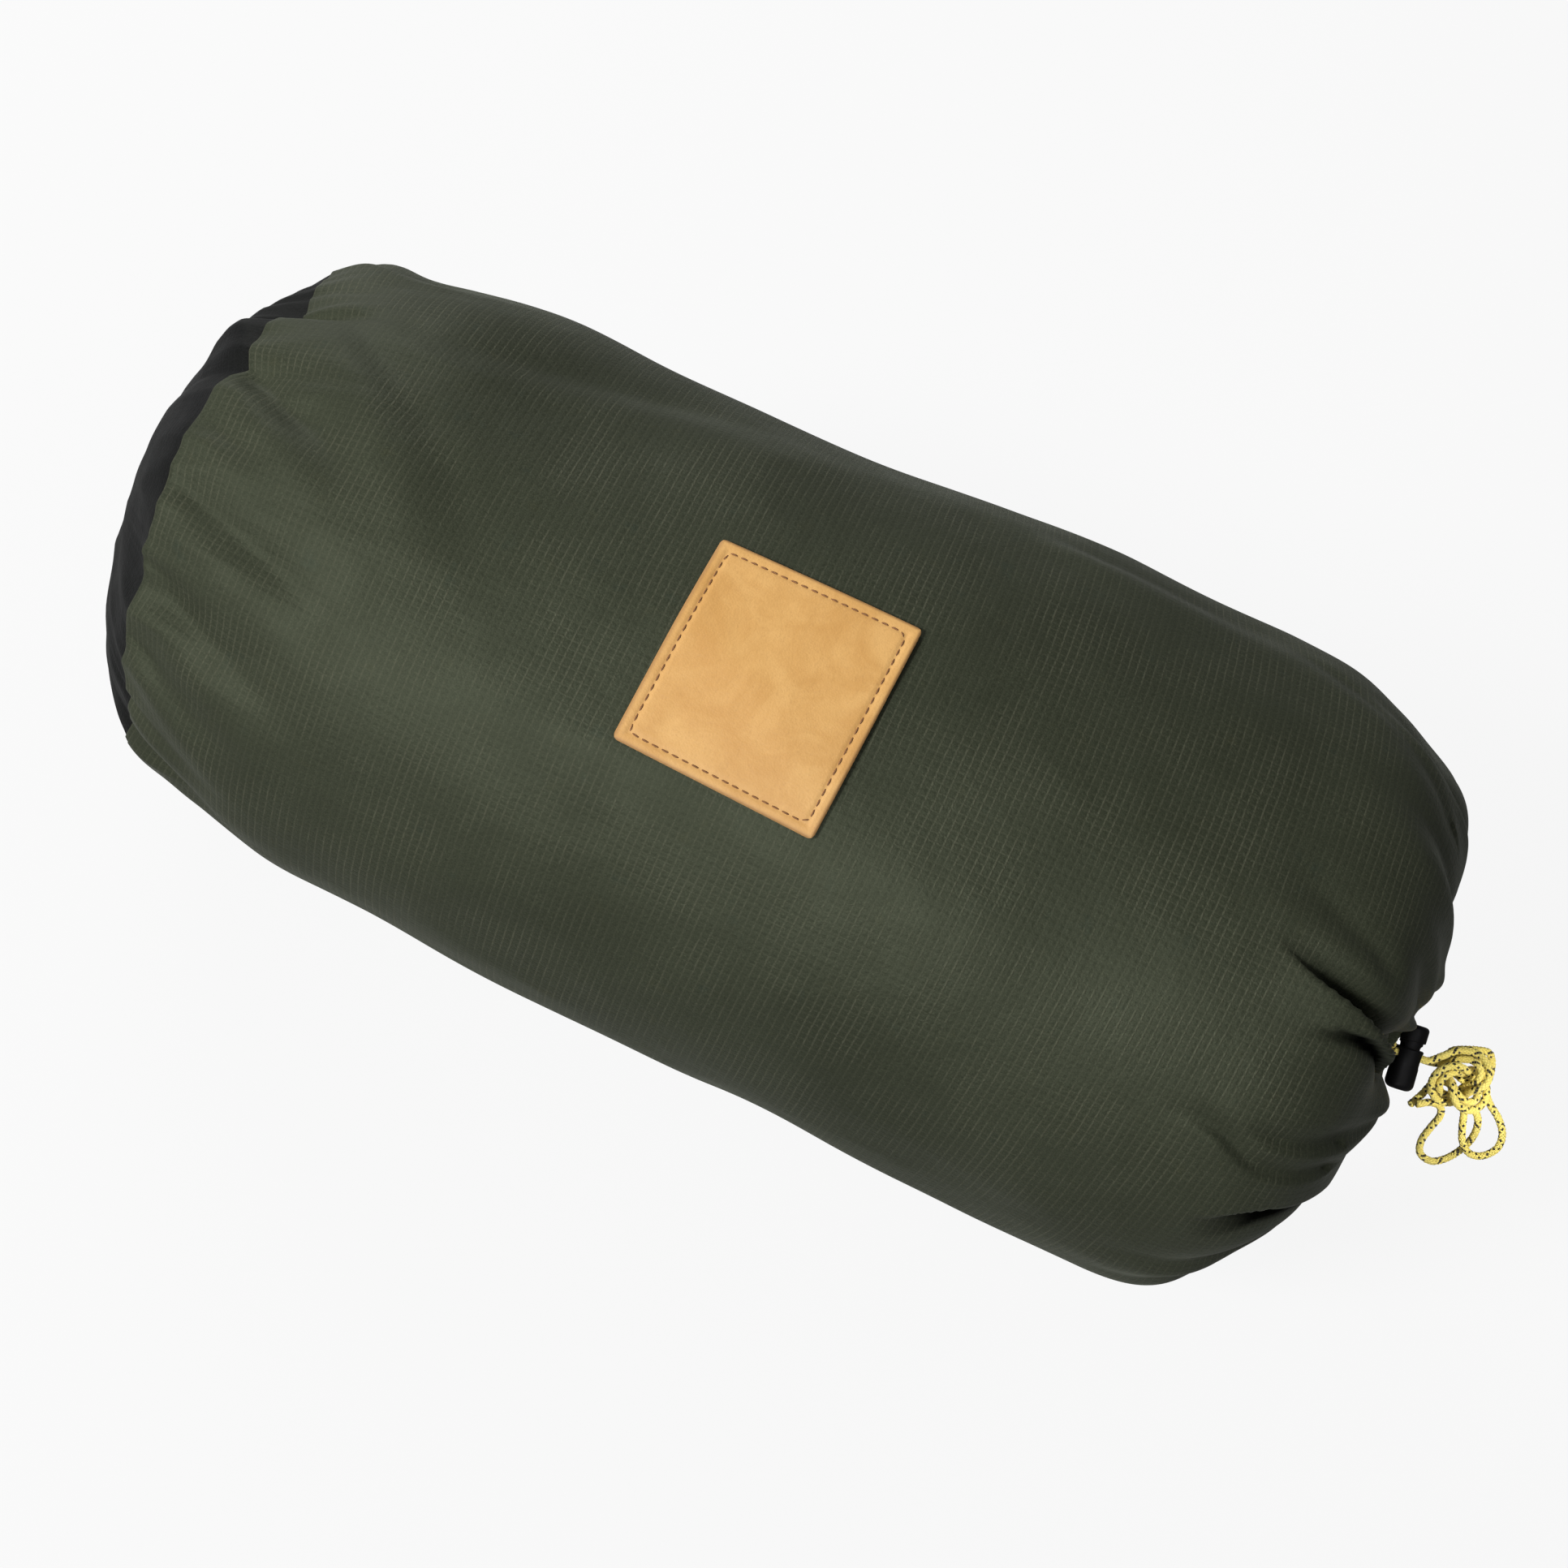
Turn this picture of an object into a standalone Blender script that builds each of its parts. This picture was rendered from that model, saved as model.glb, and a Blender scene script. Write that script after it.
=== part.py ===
"""A camping tent packed in its stuff sack.

The sack lies on its side along X with its gathered mouth at +X. The drawcord leaves the mouth through a
push-button cord lock and ends in a knot with two loops. Inside lie the rolled flysheet, the inner tent rolled
round the pole bag, the peg bag and a spare guy line. Lengths are in metres, +Z is up.
"""

import math

import bmesh
import bpy
from mathutils import Matrix, Vector

MM = 0.001
CLEAR = 0.3 * MM  # between pieces that touch on the real tent

# Sack: a tube of ripstop that tapers to its sewn base and rounds over to its drawn mouth
TUBE_LENGTH = 464 * MM
BASE_END_RADIUS = 115.5 * MM
MOUTH_END_RADIUS = 121.5 * MM
SWELL_START = 90 * MM
SWELL_LENGTH = 220 * MM
FABRIC = 1.2 * MM
SAG = 12 * MM
FOOT_ROUNDING = 5 * MM
SEAM_STEP = 21 * MM
BASE_TAPER = 85 * MM
BASE_BULGE = 30 * MM
SHOULDER_LENGTH = 70 * MM
SHOULDER_END_ANGLE = math.radians(78)
PUCKER_DEPTH = 2.0 * MM
PUCKER_FADE = 25 * MM
PLEAT_DEPTH = 3.0 * MM
PLEAT_OUTER_RADIUS = 105 * MM
PLEATS = 11
SIDES = 4 * PLEATS
BASE_RINGS = 5
BODY_RINGS = 5
SHOULDER_RINGS = 7
BULGE_RINGS = 4
# The lip of the mouth, from its crest down to the neck: radius, and distance past the end of the tube
MOUTH_LIP = [
    (30 * MM, -1.5 * MM),
    (21 * MM, -4.5 * MM),
    (14 * MM, -5.5 * MM),
    (11 * MM, -3.0 * MM),
    (9.6 * MM, 3.3 * MM),
]
MOUTH_BLEND_RADIUS = 90 * MM

# Leather patch on the upper front, seen square on from the tilt angle
FACING_TILT = math.radians(55)
PATCH_LENGTH = 69 * MM
PATCH_HEIGHT = 75 * MM
PATCH_THICKNESS = 1.6 * MM
PATCH_FROM_SEAM = 211 * MM
PATCH_ABOVE_FACING = math.radians(9.6)
PATCH_LIFT = 0.45 * MM
PATCH_STEPS = 6

# Drawcord, its hem channel and its barrel lock
CORD_DIAMETER = 2.8 * MM
STRAND_GAP = 0.3 * MM
HEM_RING_RADIUS = 9 * MM
HEM_THICKNESS = 8 * MM
HEM_SIDES = 20
CHANNEL_CLEAR = 0.35 * MM
LOCK_FROM_MOUTH = 18 * MM
EYELET_TURN = math.radians(25)
LOCK_TO_HEM = 1 * MM
LOCK_ABOVE_AXIS = 1.2 * MM
LOCK_TILT = math.radians(8.4)
LOCK_RADIUS = 5.4 * MM
LOCK_WALL = 1.0 * MM
LOCK_FLOOR = 1.0 * MM
LOCK_BRIDGE = 0.9 * MM
LOCK_DEPTH = 13.3 * MM
LOCK_HOLE_HEIGHT = 6 * MM
LOCK_EDGE = 0.5 * MM
PLUNGER_TRAVEL = 2.5 * MM
PLUNGER_FOOT = 3.4 * MM
CAP_RADIUS = 5.2 * MM
CAP_HEIGHT = 6.2 * MM
CAP_DOME = 1.6 * MM
SPRING_WIRE = 0.5 * MM
SPRING_RADIUS = 3.2 * MM
SPRING_TURNS = 4
LOCK_SIDES = 24

# Knot: both strands wind twice round through an overhand knot, lying side by side
KNOT_FROM_LOCK = 22 * MM
KNOT_BELOW_CORD = 3.6 * MM
KNOT_RADIUS = 6.9 * MM
KNOT_SWING = 3.3 * MM
KNOT_DEPTH = 4.3 * MM
KNOT_DRIFT = 1.4 * MM
KNOT_TWIST = math.radians(-60)
KNOT_START = math.radians(2)
KNOT_END = math.radians(352)
KNOT_POINTS = 43
STRAND_OFFSET = (CORD_DIAMETER + STRAND_GAP) / 2
CORD_STEP = 3.3 * MM
CHANNEL_STEP = 2 * MM

# Rolled tent
ROLL_SLACK = 0.85 * MM
ROLL_FROM_SEAM = 12 * MM
ROLL_FROM_MOUTH = 42 * MM
ROLL_CORE_HEIGHT = 106 * MM
INNER_ROLL_RADIUS = 61.4 * MM
STRAP_THICKNESS = 1.6 * MM
STRAP_WIDTH = 25 * MM
STRAP_FROM_END = 90 * MM
ROLL_SIDES = 32

# Poles: three folded poles of six sections, and a repair sleeve in the middle of the bundle
POLES = 3
SECTIONS = 6
SECTION_LENGTH = 385 * MM
SECTION_RADIUS = 4.75 * MM
SECTION_BORE = 3.5 * MM
FERRULE_RADIUS = 4.1 * MM
FERRULE_LENGTH = 34 * MM
SLEEVE_LENGTH = 120 * MM
SHOCK_CORD_RADIUS = 1.25 * MM
SHOCK_CORD_REACH = 12 * MM
TIP_PLUG_LENGTH = 8 * MM
TIP_HEAD_LENGTH = 3 * MM
TIP_NOSE_LENGTH = 6 * MM
TIP_NOSE_RADIUS = 2.5 * MM
TUBE_SIDES = 8
POLE_BAG_WALL = 0.8 * MM
POLE_BAG_NECK = 8 * MM
POLE_BAG_ABOVE_CORE = 14 * MM
BAG_END_ROOM = 3 * MM
BAG_SIDES = 20
BAG_CORNER = 2 * MM

# Pegs: folded angle pegs, nested in a stack
PEGS = 12
PEG_LENGTH = 180 * MM
PEG_POINT = 22 * MM
PEG_LEG = 8.5 * MM
PEG_POINT_LEG = 2.5 * MM
PEG_WALL = 1.2 * MM
PEG_BAG_RADIUS = 17.2 * MM
PEG_BAG_WALL = 0.6 * MM
PEG_BAG_BELOW_CORE = 36 * MM

# Spare guy line, wound flat
HANK_LENGTH = 130 * MM
HANK_WIDTH = 27 * MM
HANK_THICKNESS = 20 * MM
HANK_FROM_PEG_BAG = 12 * MM

# Places that follow from the sizes
SIDE_OF_LOCK = LOCK_RADIUS * math.cos(LOCK_TILT) + (LOCK_DEPTH - LOCK_RADIUS / 2) * math.sin(LOCK_TILT)
OVERALL_LENGTH = BASE_BULGE + CLEAR + TUBE_LENGTH + LOCK_FROM_MOUTH + SIDE_OF_LOCK
SEAM_X = BASE_BULGE + CLEAR - OVERALL_LENGTH / 2
MOUTH_X = SEAM_X + TUBE_LENGTH
SHOULDER_X = MOUTH_X - SHOULDER_LENGTH
LOCK_X = MOUTH_X + LOCK_FROM_MOUTH
HEM_FRONT_X = LOCK_X - LOCK_RADIUS - LOCK_TO_HEM
HEM_X = HEM_FRONT_X - HEM_THICKNESS / 2
EYELET_ABOVE_AXIS = LOCK_ABOVE_AXIS + (LOCK_X - HEM_FRONT_X) * math.tan(LOCK_TILT)
ROLL_START = SEAM_X + ROLL_FROM_SEAM
ROLL_END = MOUTH_X - ROLL_FROM_MOUTH
CORD_RADIUS = CORD_DIAMETER / 2
TUBE_PITCH = 2 * SECTION_RADIUS + CLEAR
POLE_BAG_RADIUS = 2 * TUBE_PITCH + SECTION_RADIUS + CLEAR + POLE_BAG_WALL
POLE_AXIS_HEIGHT = ROLL_CORE_HEIGHT + POLE_BAG_ABOVE_CORE
PEG_AXIS_HEIGHT = ROLL_CORE_HEIGHT - PEG_BAG_BELOW_CORE

# Directions across the sack: down over its front, and out towards the one who looks at the patch
DOWN_FRONT = Vector((0, -math.sin(FACING_TILT), -math.cos(FACING_TILT)))
OUTWARD = Vector((0, -math.cos(FACING_TILT), math.sin(FACING_TILT)))

# Directions of the cord lock: along the cord through it, and down its barrel
ALONG_CORD = Vector((math.cos(LOCK_TILT), 0, 0)) - DOWN_FRONT * math.sin(LOCK_TILT)
DOWN_LOCK = DOWN_FRONT * math.cos(LOCK_TILT) + Vector((math.sin(LOCK_TILT), 0, 0))

COLOURS = {
    "ripstop": ((0.048, 0.058, 0.036), 0.6, 0.0),
    "base_fabric": ((0.012, 0.013, 0.015), 0.5, 0.0),
    "leather": ((0.62, 0.36, 0.13), 0.65, 0.0),
    "cord": ((0.78, 0.68, 0.10), 0.7, 0.0),
    "black_plastic": ((0.012, 0.012, 0.013), 0.4, 0.0),
    "steel": ((0.55, 0.55, 0.56), 0.3, 1.0),
    "inner_fabric": ((0.55, 0.50, 0.36), 0.7, 0.0),
    "pole_alloy": ((0.60, 0.42, 0.16), 0.3, 1.0),
    "peg_alloy": ((0.62, 0.63, 0.65), 0.35, 1.0),
    "elastic": ((0.03, 0.03, 0.03), 0.8, 0.0),
}


def clear_scene():
    for old in list(bpy.data.objects):
        bpy.data.objects.remove(old)


def new_collection(name, helper=False):
    collection = bpy.data.collections.new(name)
    bpy.context.scene.collection.children.link(collection)
    collection.hide_render = helper
    return collection


def make_materials():
    made = {}
    for name, (colour, roughness, metallic) in COLOURS.items():
        finish = bpy.data.materials.new(name)
        finish.use_nodes = True
        shader = finish.node_tree.nodes["Principled BSDF"]
        shader.inputs["Base Color"].default_value = (*colour, 1)
        shader.inputs["Roughness"].default_value = roughness
        shader.inputs["Metallic"].default_value = metallic
        made[name] = finish
    return made


def add_object(name, data, finish, collection):
    made = bpy.data.objects.new(name, data)
    data.materials.append(finish)
    collection.objects.link(made)
    return made


def smooth_shading(made, degrees=35):
    made.data.shade_smooth()
    made.data.set_sharp_from_angle(angle=math.radians(degrees))


def add_cutter(name, mesh, collection):
    cutter = bpy.data.objects.new(name, mesh)
    collection.objects.link(cutter)
    cutter.hide_render = True
    cutter.display_type = "WIRE"
    return cutter


def cut(made, cutter):
    boolean = made.modifiers.new("cut_" + cutter.name, "BOOLEAN")
    boolean.operation = "DIFFERENCE"
    boolean.solver = "EXACT"
    boolean.object = cutter


def solidify(made, thickness, outwards=False):
    shell = made.modifiers.new("thickness", "SOLIDIFY")
    shell.thickness = thickness
    shell.offset = 1.0 if outwards else -1.0


def loft(name, rings, round_ends=False, closed=True):
    """A mesh through rings of points: open, joined end to start, or closed to a single point at each end."""
    mesh = bpy.data.meshes.new(name)
    shape = bmesh.new()
    rows = [[shape.verts.new(point) for point in ring] for ring in rings]
    if round_ends:
        rows.append(rows[0])
    for lower, upper in zip(rows, rows[1:]):
        count = max(len(lower), len(upper))
        for i in range(count if closed else count - 1):
            corners = [
                lower[i % len(lower)],
                lower[(i + 1) % len(lower)],
                upper[(i + 1) % len(upper)],
                upper[i % len(upper)],
            ]
            shape.faces.new(list(dict.fromkeys(corners)))
    bmesh.ops.recalc_face_normals(shape, faces=shape.faces)
    shape.to_mesh(mesh)
    shape.free()
    return mesh


def turned(name, profile, sides, finish, collection, closed=False):
    """A turned piece about its own Z axis. The profile of (radius, height) runs down its outer side."""
    mesh = bpy.data.meshes.new(name)
    count = len(profile)
    edges = [(i, (i + 1) % count) for i in range(count if closed else count - 1)]
    mesh.from_pydata([(radius, 0, height) for radius, height in profile], edges, [])
    made = add_object(name, mesh, finish, collection)
    screw = made.modifiers.new("turn", "SCREW")
    screw.axis = "Z"
    screw.angle = 2 * math.pi
    screw.steps = sides
    screw.render_steps = sides
    screw.use_merge_vertices = True
    screw.merge_threshold = 0.00001
    screw.use_smooth_shade = True
    return made


def along_x(made, x, y=0.0, z=0.0, roll=0.0):
    """Lays a turned piece along +X."""
    turn = Matrix.Rotation(roll, 4, "X") @ Matrix.Rotation(math.pi / 2, 4, "Y")
    made.matrix_world = Matrix.Translation((x, y, z)) @ turn


def tube_curve(name, points, radius, resolution=2):
    """A filled tube along points, as a curve."""
    curve = bpy.data.curves.new(name, "CURVE")
    curve.dimensions = "3D"
    curve.bevel_depth = radius
    curve.bevel_resolution = resolution
    curve.use_fill_caps = True
    spline = curve.splines.new("POLY")
    spline.points.add(len(points) - 1)
    for place, point in zip(spline.points, points):
        place.co = (*point, 1)
    return curve


def smooth_path(route, spacing):
    """Points at an even spacing along a smooth curve through the route's points."""
    route = [Vector(point) for point in route]
    padded = [2 * route[0] - route[1], *route, 2 * route[-1] - route[-2]]
    fine = []
    for a, b, c, d in zip(padded, padded[1:], padded[2:], padded[3:]):
        for step in range(12):
            t = step / 12
            fine.append(
                0.5
                * (
                    2 * b
                    + (c - a) * t
                    + (2 * a - 5 * b + 4 * c - d) * t**2
                    + (3 * b - a - 3 * c + d) * t**3
                )
            )
    fine.append(route[-1])
    lengths = [0.0]
    for a, b in zip(fine, fine[1:]):
        lengths.append(lengths[-1] + (b - a).length)
    count = max(2, round(lengths[-1] / spacing))
    points = []
    segment = 0
    for i in range(count + 1):
        target = lengths[-1] * i / count
        while segment < len(fine) - 2 and lengths[segment + 1] < target:
            segment += 1
        span = lengths[segment + 1] - lengths[segment]
        points.append(fine[segment].lerp(fine[segment + 1], (target - lengths[segment]) / span))
    return points


def smooth_step(t):
    t = min(max(t, 0.0), 1.0)
    return t * t * (3 - 2 * t)


def barrel_radius(x):
    """Radius of the filled sack without its ends, a little fatter towards the mouth."""
    share = smooth_step((x - SEAM_X - SWELL_START) / SWELL_LENGTH)
    return BASE_END_RADIUS + (MOUTH_END_RADIUS - BASE_END_RADIUS) * share


def axis_height(x):
    return barrel_radius(x) - SAG


def tapered_radius(x):
    """Radius between the base seam and the shoulder."""
    past_taper = max(0.0, 1 - (x - SEAM_X) / BASE_TAPER)
    return barrel_radius(x) - SEAM_STEP * past_taper**2


def shoulder_radius(x):
    """Radius where the tube rounds over to its mouth."""
    share = max(0.0, (x - SHOULDER_X) / SHOULDER_LENGTH)
    return tapered_radius(x) * (1 - share**3) ** (1 / 3)


def pleat(angle):
    return 0.5 - 0.5 * math.cos(PLEATS * angle)


def pucker(x, angle):
    return PUCKER_DEPTH * pleat(angle) * math.exp(-(x - SEAM_X) / PUCKER_FADE)


def pleat_share(radius):
    """How strongly the mouth's pleats show at this radius of the end."""
    inner_rise = smooth_step((radius - MOUTH_LIP[-1][0]) / (MOUTH_LIP[0][0] - MOUTH_LIP[-1][0]))
    return inner_rise * smooth_step((PLEAT_OUTER_RADIUS - radius) / (PLEAT_OUTER_RADIUS - MOUTH_LIP[0][0]))


def on_floor(z, level):
    """Presses whatever would pass below the level flat onto it, with a rounded edge."""
    above = z - level
    if above >= FOOT_ROUNDING:
        return z
    if above <= -FOOT_ROUNDING:
        return level
    return level + (above + FOOT_ROUNDING) ** 2 / (4 * FOOT_ROUNDING)


def sack_point(x, radius, angle, level=0.0):
    """A point of the sack's cross-section. The mouth's centre lies off the axis, up along the lock."""
    neck_radius = MOUTH_LIP[-1][0]
    shift = (HEM_RING_RADIUS + EYELET_ABOVE_AXIS) * (x > SHOULDER_X)
    shift *= 1 - smooth_step((radius - neck_radius) / (MOUTH_BLEND_RADIUS - neck_radius))
    across = Vector((0, math.cos(angle), math.sin(angle))) * radius - DOWN_FRONT * shift
    return Vector((x, across.y, on_floor(axis_height(x) + across.z, level)))


def sack_stations():
    """(x, radius) of each ring of the tube, from the base seam to the neck of the mouth."""
    stations = []
    for i in range(BASE_RINGS):
        x = SEAM_X + BASE_TAPER * (i / BASE_RINGS) ** 1.4
        stations.append((x, tapered_radius(x)))
    straight_start = SEAM_X + BASE_TAPER
    for i in range(BODY_RINGS + 1):
        x = straight_start + (SHOULDER_X - straight_start) * i / BODY_RINGS
        stations.append((x, tapered_radius(x)))
    for i in range(1, SHOULDER_RINGS + 1):
        turn = SHOULDER_END_ANGLE * i / SHOULDER_RINGS
        x = SHOULDER_X + SHOULDER_LENGTH * math.sin(turn) ** (2 / 3)
        stations.append((x, shoulder_radius(x)))
    stations += [(MOUTH_X + past, radius) for radius, past in MOUTH_LIP]
    return stations


def angles(count):
    return [2 * math.pi * i / count for i in range(count)]


def make_sack_tube(finish, collection):
    rings = []
    for x, radius in sack_stations():
        ring = []
        for angle in angles(SIDES):
            drawn_in = PLEAT_DEPTH * pleat(angle) * pleat_share(radius) * (x > SHOULDER_X)
            ring.append(sack_point(x - drawn_in, radius - pucker(x, angle), angle))
        rings.append(ring)
    made = add_object("sack_tube", loft("sack_tube", rings), finish, collection)
    solidify(made, FABRIC)
    smooth_shading(made, 60)
    return made


def base_rings(rim_x, rim_inset, bulge):
    """Rings of a shallow dome, from its middle to its rim."""
    rim = tapered_radius(SEAM_X) - rim_inset
    sphere = (rim**2 + bulge**2) / (2 * bulge)
    rings = [[sack_point(rim_x - bulge, 0.0, 0.0)]]
    for i in range(1, BULGE_RINGS + 1):
        share = math.sin(math.pi / 2 * i / BULGE_RINGS)
        radius = rim * share
        x = rim_x - (math.sqrt(sphere**2 - radius**2) - (sphere - bulge))
        puckered = [radius - share**3 * pucker(SEAM_X, angle) for angle in angles(SIDES)]
        rings.append([sack_point(x, r, angle) for r, angle in zip(puckered, angles(SIDES))])
    return rings


def make_sack_base(finish, collection):
    rim_x = SEAM_X - CLEAR
    outside = base_rings(rim_x, 0.0, BASE_BULGE)
    inside = base_rings(rim_x, FABRIC, BASE_BULGE - FABRIC)
    made = add_object("sack_base", loft("sack_base", outside + inside[::-1]), finish, collection)
    smooth_shading(made, 60)


def make_patch(finish, collection):
    middle_x = SEAM_X + PATCH_FROM_SEAM
    middle_angle = math.pi - FACING_TILT - PATCH_ABOVE_FACING
    rows = []
    for i in range(PATCH_STEPS + 1):
        x = middle_x + PATCH_LENGTH * (i / PATCH_STEPS - 0.5)
        radius = tapered_radius(x) + PATCH_LIFT
        reach = PATCH_HEIGHT / tapered_radius(middle_x)
        steps = [middle_angle + reach * (j / PATCH_STEPS - 0.5) for j in range(PATCH_STEPS + 1)]
        rows.append([sack_point(x, radius, angle) for angle in steps])
    made = add_object("leather_patch", loft("leather_patch", rows, closed=False), finish, collection)
    flip_towards(made, OUTWARD)
    solidify(made, PATCH_THICKNESS, outwards=True)


def flip_towards(made, direction):
    """Turns an open sheet's faces so that they look along the direction."""
    if made.data.polygons[0].normal.dot(direction) < 0:
        made.data.flip_normals()


def hem_place(x, down, out):
    """A point given from the middle of the hem's eyelet: along X, down over the sack's front, and outward."""
    eyelet = Vector((HEM_FRONT_X, 0, axis_height(MOUTH_X))) - DOWN_FRONT * EYELET_ABOVE_AXIS
    return eyelet + Vector((x, 0, 0)) + DOWN_FRONT * down + OUTWARD * out


def lock_place(along, down, out):
    """A point given from the middle of the lock's cross hole: along the cord, down the barrel, and outward."""
    middle = Vector((LOCK_X, 0, axis_height(MOUTH_X))) - DOWN_FRONT * LOCK_ABOVE_AXIS
    return middle + ALONG_CORD * along + DOWN_LOCK * down + OUTWARD * out


def channel_point(angle):
    """A point on the middle of the hem's channel. Angle 0 is where the cord comes out."""
    down = HEM_RING_RADIUS * (math.cos(angle) - 1)
    return (-HEM_THICKNESS / 2, down, HEM_RING_RADIUS * math.sin(angle))


def channel_route():
    """The drawcord in its channel: in at the hem's eyelet, once round, and out again beside itself."""
    turns = [EYELET_TURN + (2 * math.pi - 2 * EYELET_TURN) * i / 18 for i in range(19)]
    ring = [channel_point(angle) for angle in turns]
    lead_in = (0, 0, STRAND_OFFSET)
    lead_out = (0, 0, -STRAND_OFFSET)
    return [hem_place(*point) for point in (lead_in, *ring, lead_out)]


def hem_ring(name, radius, sides):
    """A ring of round section about the channel's middle line."""
    rings = []
    for angle in angles(HEM_SIDES):
        middle = Vector(channel_point(angle))
        outward = Vector((0, math.cos(angle), math.sin(angle)))
        ring = []
        for turn in angles(sides):
            point = middle + outward * radius * math.cos(turn) + Vector((radius * math.sin(turn), 0, 0))
            ring.append(hem_place(*point))
        rings.append(ring)
    return loft(name, rings, round_ends=True)


def make_hem(finish, collection, cutters):
    """The gathered hem: a ring with the cord's channel inside and an eyelet at the front."""
    hem = add_object("sack_hem", hem_ring("sack_hem", HEM_THICKNESS / 2, 10), finish, collection)
    hem.data.shade_smooth()
    room = CORD_RADIUS + CHANNEL_CLEAR
    cut(hem, add_cutter("hem_channel", hem_ring("hem_channel", room, 8), cutters))
    highest = HEM_RING_RADIUS * (math.cos(EYELET_TURN) - 1) - room
    half_width = HEM_RING_RADIUS * math.sin(EYELET_TURN) + room
    eyelet = bpy.data.meshes.new("hem_eyelet")
    box = bmesh.new()
    bmesh.ops.create_cube(box, size=1)
    bmesh.ops.scale(box, vec=(HEM_THICKNESS, room - highest, 2 * half_width), verts=box.verts)
    bmesh.ops.translate(box, vec=(0, (room + highest) / 2, 0), verts=box.verts)
    axes = Matrix((Vector((1, 0, 0)), DOWN_FRONT, OUTWARD)).transposed()
    bmesh.ops.transform(box, matrix=Matrix.Translation(hem_place(0, 0, 0)) @ axes.to_4x4(), verts=box.verts)
    bmesh.ops.recalc_face_normals(box, faces=box.faces)
    box.to_mesh(eyelet)
    box.free()
    cut(hem, add_cutter("hem_eyelet", eyelet, cutters))


def make_channel_cord(finish, collection):
    path = smooth_path(channel_route(), CHANNEL_STEP)
    add_object("drawcord_in_hem", tube_curve("drawcord_in_hem", path, CORD_RADIUS), finish, collection)


def knot_point(turn, side):
    """A point of the overhand knot at this turn of its winding. side is +1 on the outer strand, -1 on the inner."""

    def middle(t):
        radius = KNOT_RADIUS + KNOT_SWING * math.cos(3 * t)
        out = KNOT_DEPTH * math.sin(3 * t) + KNOT_DRIFT * math.cos(t / 2)
        return Vector((radius * math.sin(2 * t), -radius * math.cos(2 * t), out))

    ahead = middle(turn + 0.01) - middle(turn - 0.01)
    sideways = Vector((ahead.y, -ahead.x, 0)).normalized()
    across = ahead.cross(sideways).normalized()
    twist = KNOT_TWIST * (1 - math.cos(3 * turn)) / 2
    offset = sideways * math.cos(twist) + across * math.sin(twist)
    return middle(turn) + offset * side * STRAND_OFFSET + Vector((KNOT_FROM_LOCK, KNOT_BELOW_CORD, 0))


# Each tail's run between lock and knot, and after the knot, in millimetres from the middle of the lock's hole:
# along the cord, down the barrel, and outward
UPPER_LEAD = [(-4, 0, 1.55), (4, 0, 1.55), (7.8, -0.2, 1.5), (12.4, -3.4, 0.8), (17.2, -6.95, 0.9)]
LOWER_LEAD = [(-4, 0, -1.55), (4, 0, -1.55), (9.5, 0.2, -1.5), (14.4, -0.8, -1.3), (18.5, -3.75, 0.1)]
UPPER_LOOP = [
    (28.6, -9.6, -3.8),
    (32.5, -7.4, -6.4),
    (34.6, -2.4, -9.2),
    (35, 3.6, -11),
    (38.7, 8.9, -12.8),
    (44.3, 13.5, -14.8),
    (48.2, 19, -16.8),
    (48.5, 24.8, -18.8),
    (44.5, 29.2, -20.3),
    (39.3, 29.7, -20),
    (35, 26, -18.3),
    (32.7, 20.5, -16.5),
    (30.8, 14.2, -15),
    (26.5, 9, -14.3),
    (21, 6.2, -14.2),
    (16, 8.2, -12.9),
    (12.5, 13, -10),
    (8.6, 18.1, -8),
]
LOWER_LOOP = [
    (27.8, -5.8, -4),
    (31, -3.2, -6.9),
    (30.9, 1.6, -9.6),
    (26.8, 3.6, -11),
    (21.8, 1.8, -11),
    (17.3, 2.6, -10.3),
    (15.6, 6.6, -9.6),
    (18.3, 10.2, -9.4),
    (23, 11.2, -10),
    (28, 11, -11),
    (33, 12.4, -12.3),
    (37, 16.2, -14.7),
    (38.8, 22, -19),
    (38.2, 28, -24),
    (34.5, 34, -27),
    (28.5, 37.2, -26),
    (22.8, 35.5, -24),
    (20.8, 30.5, -21),
    (21.5, 24.3, -17),
    (22.3, 19, -13),
    (20, 15.4, -9),
    (15.2, 14.8, -6.2),
    (9.8, 17, -4.5),
]


def tail_route(side, lead, loop):
    """One strand from the hem's front through the lock and the knot to its cut end."""
    strand = math.copysign(STRAND_OFFSET, side)
    start = lock_place(-(LOCK_X - HEM_FRONT_X - CLEAR) / math.cos(LOCK_TILT), 0, strand)
    count = KNOT_POINTS
    knot = [knot_point(KNOT_START + (KNOT_END - KNOT_START) * i / count, side) for i in range(count + 1)]
    before = [Vector(point) * MM for point in lead]
    after = [Vector(point) * MM for point in loop]
    return [start, *(lock_place(*point) for point in [*before, *knot, *after])]


def least_self_gap(points, diameter):
    """The least gap of a tube to itself, leaving out its own neighbourhood along its length."""
    spacing = (points[1] - points[0]).length
    skip = round(2.2 * diameter / spacing)
    least = min((a - b).length for i, a in enumerate(points) for b in points[i + skip :])
    return least - diameter


def make_tails(finish, collection):
    for name, side, lead, loop in (
        ("drawcord_tail_upper", 1, UPPER_LEAD, UPPER_LOOP),
        ("drawcord_tail_lower", -1, LOWER_LEAD, LOWER_LOOP),
    ):
        route = tail_route(side, lead, loop)
        path = smooth_path(route, CORD_STEP)
        add_object(name, tube_curve(name, path, CORD_RADIUS), finish, collection)
        gap = least_self_gap(smooth_path(route, CORD_STEP / 6), CORD_DIAMETER)
        print(f"{name}: {len(path)} points, least gap to itself {gap / MM:.2f} mm")


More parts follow.
